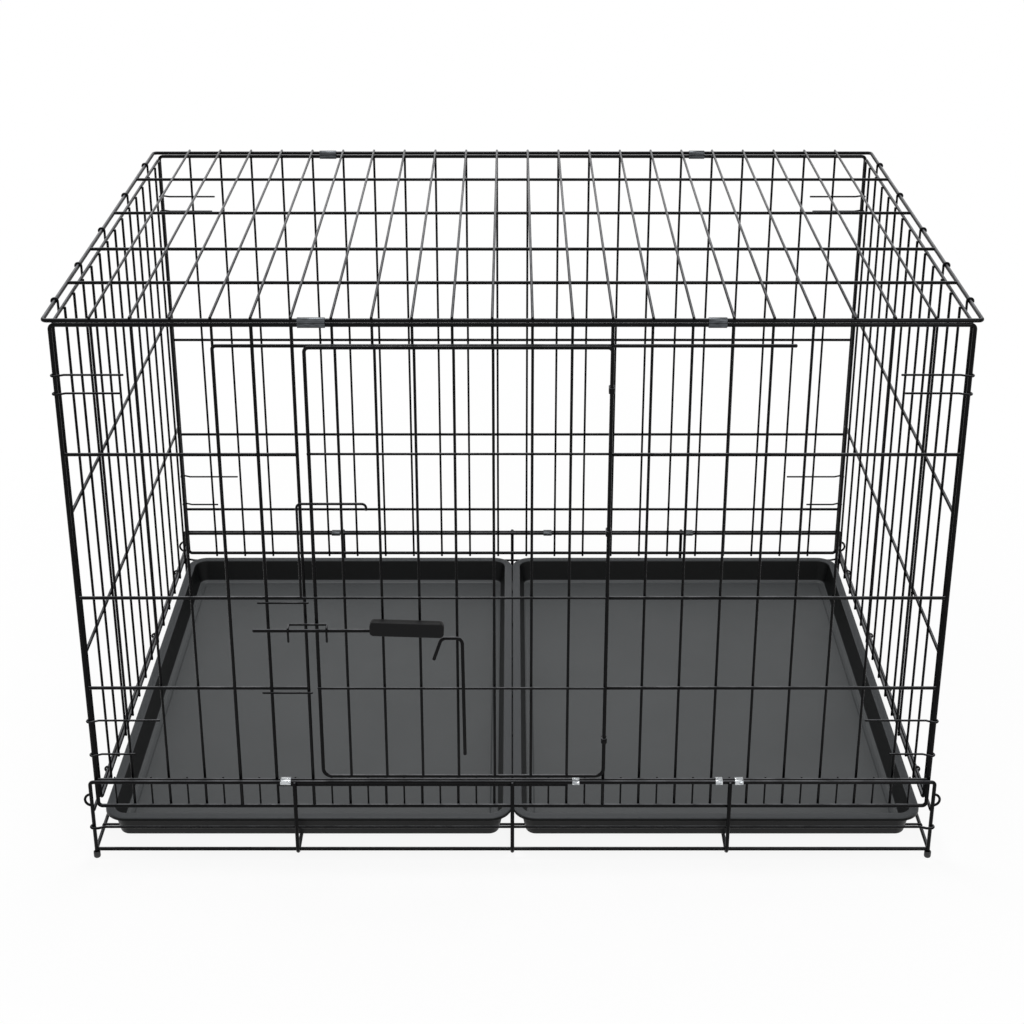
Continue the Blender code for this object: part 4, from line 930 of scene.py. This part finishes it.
# %% [markdown]
# The slide bolt and its grip
#
# The bolt is a plain rod. The grip is moulded round its end: a block with rounded corners, flat sides, and
# a soft edge all round. A box with a wide bevel on its corners and a small one on its long edges gives
# that, and a blind bore from its left end takes the rod.

# %% Slide bolt
BOLT_PAST_ROD, BOLT_IN_GRIP = 0.087, 0.088
ends = [(DOOR_LEFT - BOLT_PAST_ROD, BOLT_Y, BOLT_HEIGHT), (GRIP_X + BOLT_IN_GRIP, BOLT_Y, BOLT_HEIGHT)]
bolt = wires_of([wire(ends, BOLT_R)], sides=20)
piece("bolt_rod", [bolt], "latch_bolt", ["latch_bolt"])

# %% Grip
GRIP_LONG, GRIP_THICK, GRIP_TALL = 0.102, 0.013, 0.0215
GRIP_CORNER, GRIP_EDGE, GRIP_TILT = 0.006, 0.0022, 2
GRIP_FORWARD, GRIP_ABOVE_BOLT = 0.0017, 0.00625
LARGEST_SMOOTH_FACE = 0.0002
shape = bmesh.new()
bmesh.ops.create_cube(shape, size=1)
bmesh.ops.scale(shape, verts=shape.verts, vec=(GRIP_LONG, GRIP_THICK, GRIP_TALL))
corner_edges = [e for e in shape.edges if abs(e.verts[0].co.y - e.verts[1].co.y) > GRIP_THICK / 2]
bmesh.ops.bevel(shape, geom=corner_edges, offset=GRIP_CORNER, segments=7, profile=0.5, affect="EDGES")
rim_edges = [e for e in shape.edges if e.calc_face_angle(0) > 1.0]
bmesh.ops.bevel(shape, geom=rim_edges, offset=GRIP_EDGE, segments=4, profile=0.5, affect="EDGES")
bmesh.ops.translate(shape, verts=shape.verts, vec=(GRIP_LONG / 2, -GRIP_FORWARD, GRIP_ABOVE_BOLT))
tilt = Matrix.Rotation(radians(GRIP_TILT), 3, "Y")
bmesh.ops.rotate(shape, verts=shape.verts, cent=(0, 0, 0), matrix=tilt)
bmesh.ops.translate(shape, verts=shape.verts, vec=(GRIP_X, BOLT_Y, BOLT_HEIGHT))
for face in shape.faces:
    face.smooth = face.calc_area() < LARGEST_SMOOTH_FACE
blank = new_object("grip_blank", mesh_from(shape, "grip", grip_vinyl))
print("grip before its bore has", len(blank.data.polygons), "faces")

# %% Bore of the grip
OUTSIDE, BEYOND_BOLT = 0.004, 0.0005
bore_end = GRIP_X + BOLT_IN_GRIP + BEYOND_BOLT
bore_ends = [(GRIP_X - OUTSIDE, BOLT_Y, BOLT_HEIGHT), (bore_end, BOLT_Y, BOLT_HEIGHT)]
bore_mesh = wires_of([wire(bore_ends, BOLT_R + PLAY)], sides=20, finish=grip_vinyl)
bore = new_object("grip_bore", bore_mesh)
cut = blank.modifiers.new("bore", "BOOLEAN")
cut.operation, cut.solver, cut.object = "DIFFERENCE", "EXACT", bore
bored = plain_mesh(blank)
bpy.data.objects.remove(bore)
piece("grip_moulding", [bored], "latch_grip", ["latch_grip"])

# %% [markdown]
# Sheet clips and door hinges
#
# Clips and hinges are short strips of sheet steel bent round two rods. A strip is a path drawn out
# sideways, which Solidify then gives its thickness and Bevel its soft sheared edges. A clip is placed by
# its number along the row of uprights, and each has its own width.


# %% From a path to a bent strip
CLIP_WALL, LINK_WALL = 0.001, 0.0013


def strips_of(paths, wall, finish):
    """Strips of sheet metal: each has the points of its path and the vector of its width."""
    shape = bmesh.new()
    for points, width in paths:
        rows = [[shape.verts.new(p + width * k) for k in (-0.5, 0.5)] for p in points]
        for near, far in zip(rows, rows[1:]):
            shape.faces.new((near[0], near[1], far[1], far[0])).smooth = True
    made = new_object("strips", mesh_from(shape, "strips", finish))
    thick = made.modifiers.new("wall", "SOLIDIFY")
    thick.thickness, thick.offset = wall, 0
    edge = made.modifiers.new("edges", "BEVEL")
    edge.width, edge.segments = wall * 0.2, 2
    edge.limit_method, edge.angle_limit = "ANGLE", radians(50)
    return plain_mesh(made)


def clip_path(first, second, x, width):
    """A strip closed round two parallel rods, with its seam on the inner side."""
    across = (second - first).normalized()
    side = X.cross(across)
    middle = (first + second) / 2
    reach = FRAME_R + PLAY + CLIP_WALL / 2
    near = arc(first, reach, 90, 270, 12, across, side)
    far = arc(second, reach, -90, 90, 12, across, side)
    seam = middle + side * reach
    points = [seam - across * PLAY] + near + far + [seam + across * PLAY]
    return [p + x * X for p in points], width * X


print("clips are", CLIP_WALL * 1000, "mm thick")

# %% Clips
roof_clips, base_clips = [], {-1: [], 1: []}
for side, roof_places, base_places in (
    (-1, ((6.5, 0.036), (16.6, 0.024)), ((5.25, 0.015), (13.25, 0.010), (17.2, 0.010), (17.75, 0.012))),
    (1, ((5.5, 0.028), (17.5, 0.026)), ((5.25, 0.015), (12.75, 0.015), (17.75, 0.015))),
):
    for number, width in roof_places:
        rods = Vector((0, side * PANEL_Y, PANEL_TOP)), Vector((0, side * PANEL_Y, ROOF_Z))
        roof_clips.append(clip_path(*rods, wire_x(number), width))
    for number, width in base_places:
        rods = Vector((0, side * BASE_Y, RIM[side])), Vector((0, side * HINGE_BAR_Y, RIM[side]))
        base_clips[side].append(clip_path(*rods, wire_x(number), width))
nodes = [f"roof_clip_{end}_{n}" for end in ("front", "back") for n in (1, 2)]
strips = strips_of(roof_clips, CLIP_WALL, dark_zinc)
piece("roof_strip_clips", [strips], "crate", nodes)
nodes = [f"base_clip_front_{n}" for n in (1, 2, 3, 4)]
strips = strips_of(base_clips[-1], CLIP_WALL, bright_zinc)
piece("front_base_strip_clips", [strips], "crate", nodes)
nodes = [f"base_clip_back_{n}" for n in (1, 2, 3)]
strips = strips_of(base_clips[1], CLIP_WALL, dark_zinc)
piece("back_base_strip_clips", [strips], "crate", nodes)

# %% Door hinges
LINK_TALL, LINK_INSET = 0.008, 0.060
door_rod, post = Vector((DOOR_RIGHT, DOOR_Y, 0)), Vector((RIGHT_POST_X, post_y, 0))
across = (post - door_rod).normalized()
beside = Z.cross(across)
door_reach = DOOR_R + PLAY + LINK_WALL / 2
post_reach = POST_R + PLAY + LINK_WALL / 2
door_turn = degrees(asin(LINK_WALL / 2 / door_reach))
post_turn = degrees(asin(LINK_WALL / 2 / post_reach))
middle = (DOOR_BOTTOM + DOOR_TOP) / 2 + LINK_INSET
hinges = []
for z in (DOOR_BOTTOM + LINK_INSET, middle, DOOR_TOP - LINK_INSET):
    points = arc(door_rod + z * Z, door_reach, door_turn, 360 - door_turn, 24, across, beside)
    points += arc(post + z * Z, post_reach, 180 + post_turn, 540 - post_turn, 24, across, beside)
    hinges.append((points + points[:1], LINK_TALL * Z))
nodes = ["door_hinge_lower", "door_hinge_middle", "door_hinge_upper"]
piece("hinge_strips", [strips_of(hinges, LINK_WALL, coated_wire)], "crate", nodes)

# %% [markdown]
# The trays
#
# A tray is a shallow moulded pan: a turned-down lip, a flat flange, drafted walls so that it leaves its
# mould, soft fillets, and a floor field raised a little so that the edge stays stiff. All its levels are
# rounded rectangles, so its section is drawn once, its corners are rounded, and the section is swept
# round the pan. Each point of the section has its inset from the pan's edge, its height and its fillet.

# %% Section of a tray
TRAY_Z = FLOOR_Z + WIRE_R + PLAY
TRAY_TOP = TRAY_Z + 0.043
WALL, FLANGE, DRAFT, FIELD, RISE, LIP = 0.0025, 0.013, 0.009, 0.009, 0.0012, 0.006
ON_TO_FLOOR = 0.03
inner = FLANGE + DRAFT
outline = [
    (inner - WALL + ON_TO_FLOOR, TRAY_Z, 0),
    (inner - WALL, TRAY_Z, 0.005),
    (FLANGE - WALL, TRAY_TOP - WALL, 0.0015),
    (WALL, TRAY_TOP - WALL, 0.0008),
    (WALL, TRAY_TOP - LIP, 0.0008),
    (0, TRAY_TOP - LIP, 0.0008),
    (0, TRAY_TOP, 0.0022),
    (FLANGE, TRAY_TOP, 0.0018),
    (inner, TRAY_Z + WALL, 0.006),
    (inner + FIELD, TRAY_Z + WALL, 0.0012),
    (inner + FIELD + WALL, TRAY_Z + WALL + RISE, 0.0012),
    (inner + FIELD + ON_TO_FLOOR, TRAY_Z + WALL + RISE, 0),
]


def rounded_section(corners, steps=5):
    """The corners of a section as (inset, height), each replaced by a small arc."""
    rounded = []
    for k, (inset, height, radius) in enumerate(corners):
        here = Vector((inset, height))
        if not radius:
            rounded.append(here)
            continue
        back = (Vector(corners[k - 1][:2]) - here).normalized()
        ahead = (Vector(corners[k + 1][:2]) - here).normalized()
        half = back.angle(ahead) / 2
        centre = here + (back + ahead).normalized() * radius / sin(half)
        first, last = here + back * radius / tan(half), here + ahead * radius / tan(half)
        turn = (first - centre).angle(last - centre)
        for step in range(steps + 1):
            a, b = sin((1 - step / steps) * turn), sin(step / steps * turn)
            rounded.append(centre + ((first - centre) * a + (last - centre) * b) / sin(turn))
    return rounded


section = rounded_section(outline)
print("tray section has", len(section), "points")


# %% Trays
PAN_HALF_DEPTH = BASE_Y - FRAME_R - 0.0037
PAN_CORNER, SMALLEST_CORNER = 0.034, 0.005
PAN_END, BETWEEN_PANS = POST_X - 0.010, 0.0012


def tray_mesh(low_x, high_x):
    """A pan whose section is swept round a rectangle with rounded corners."""
    shape = bmesh.new()
    rings = []
    for inset, height in section:
        half = PAN_HALF_DEPTH - inset
        corner = max(PAN_CORNER - inset, SMALLEST_CORNER)
        ring = []
        for turn, x, y in (
            (180, low_x + inset + corner, -half + corner),
            (270, high_x - inset - corner, -half + corner),
            (0, high_x - inset - corner, half - corner),
            (90, low_x + inset + corner, half - corner),
        ):
            ring += arc((x, y, height), corner, turn, turn + 90, 10, X, Y)
        rings.append([shape.verts.new(p) for p in ring])
    count = len(rings[0])
    for near, far in zip(rings, rings[1:]):
        for k in range(count):
            after = (k + 1) % count
            shape.faces.new((near[k], near[after], far[after], far[k]))
    shape.faces.new(reversed(rings[0]))
    shape.faces.new(rings[-1])
    bmesh.ops.recalc_face_normals(shape, faces=shape.faces)
    for face in shape.faces:
        face.smooth = len(face.verts) == 4
    return mesh_from(shape, "tray", tray_plastic)


left_pan = tray_mesh(-PAN_END, -BETWEEN_PANS / 2)
piece("left_pan", [left_pan], "left_tray", ["left_tray"])
right_pan = tray_mesh(BETWEEN_PANS / 2, PAN_END)
piece("right_pan", [right_pan], "right_tray", ["right_tray"])

# %% [markdown]
# Studio floor, light and background
#
# The picture is a studio one: white all round, with a soft shadow below the crate. The floor is a wide pale
# disc. Near the crate it takes a tenth of its look from the real light and so keeps a faint shadow, as in
# the picture. The rest, and all of it further out, is a glow at a strength of one, which is plain white, so
# no horizon shows. Only the camera and the rays of reflections and glass see the glow: it lights nothing.


# %% The rays that see the background
def background_rays(tree):
    """One for a ray from the camera, a reflection or glass, and zero for a ray that gathers light."""
    rays = add(tree, "ShaderNodeLightPath").outputs
    pair = {0: rays["Is Camera Ray"], 1: rays["Is Glossy Ray"]}
    seen = add(tree, "ShaderNodeMath", links=pair, operation="MAXIMUM").outputs["Value"]
    pair = {0: seen, 1: rays["Is Transmission Ray"]}
    return add(tree, "ShaderNodeMath", links=pair, operation="MAXIMUM").outputs["Value"]


WHITE = colour("#ffffff")
print("white is", WHITE)

# %% Floor
FLOOR_RADIUS = 60
paper, tree, shader, place = new_finish("white_studio_paper", 0.9)
shader.inputs["Base Color"].default_value = colour("#f8f8f8")
shader.inputs["Specular IOR Level"].default_value = 0.1
distance = add(tree, "ShaderNodeVectorMath", links={"Vector": place}, operation="LENGTH")
spread = {"From Min": 0.6, "From Max": 1.5, "To Min": 0.90, "To Max": 1.0}
fade = add(tree, "ShaderNodeMapRange", spread, {"Value": distance.outputs["Value"]})
pair = {0: background_rays(tree), 1: fade.outputs["Result"]}
share = add(tree, "ShaderNodeMath", links=pair, operation="MULTIPLY")
white = add(tree, "ShaderNodeEmission", {"Color": WHITE, "Strength": 1.0})
mixed = add(tree, "ShaderNodeMixShader", links={0: share.outputs["Value"]})
tree.links.new(shader.outputs["BSDF"], mixed.inputs[1])
tree.links.new(white.outputs["Emission"], mixed.inputs[2])
tree.links.new(mixed.outputs["Shader"], tree.nodes["Material Output"].inputs["Surface"])
shape = bmesh.new()
bmesh.ops.create_circle(shape, cap_ends=True, radius=FLOOR_RADIUS, segments=96)
studio_floor = new_object("studio_floor", mesh_from(shape, "studio_floor", paper))
print("floor is", 2 * FLOOR_RADIUS, "m across")

# %% World and lamps
world = bpy.data.worlds.new("studio")
bpy.context.scene.world = world
world.use_nodes = True
tree = world.node_tree
tree.nodes.clear()
soft = add(tree, "ShaderNodeBackground", {"Color": WHITE, "Strength": 0.5})
white = add(tree, "ShaderNodeBackground", {"Color": WHITE, "Strength": 1.0})
mixed = add(tree, "ShaderNodeMixShader", links={0: background_rays(tree)})
tree.links.new(soft.outputs["Background"], mixed.inputs[1])
tree.links.new(white.outputs["Background"], mixed.inputs[2])
add(tree, "ShaderNodeOutputWorld", links={"Surface": mixed.outputs["Shader"]})


def softbox(name, place, target, size, watts):
    """A square area lamp that looks at a point."""
    lamp = bpy.data.lights.new(name, "AREA")
    lamp.size, lamp.energy = size, watts
    made = new_object(name, lamp)
    made.location = place
    made.rotation_euler = (Vector(target) - Vector(place)).to_track_quat("-Z", "Y").to_euler()


softbox("softbox_above", (-0.3, 0.3, 3.0), (0, 0, 0.4), 0.7, 46)
softbox("softbox_front", (1.4, -3.0, 2.4), (0, 0, 0.4), 0.8, 20)
bpy.context.scene.view_settings.view_transform = "Standard"
print("lamps and world are set")
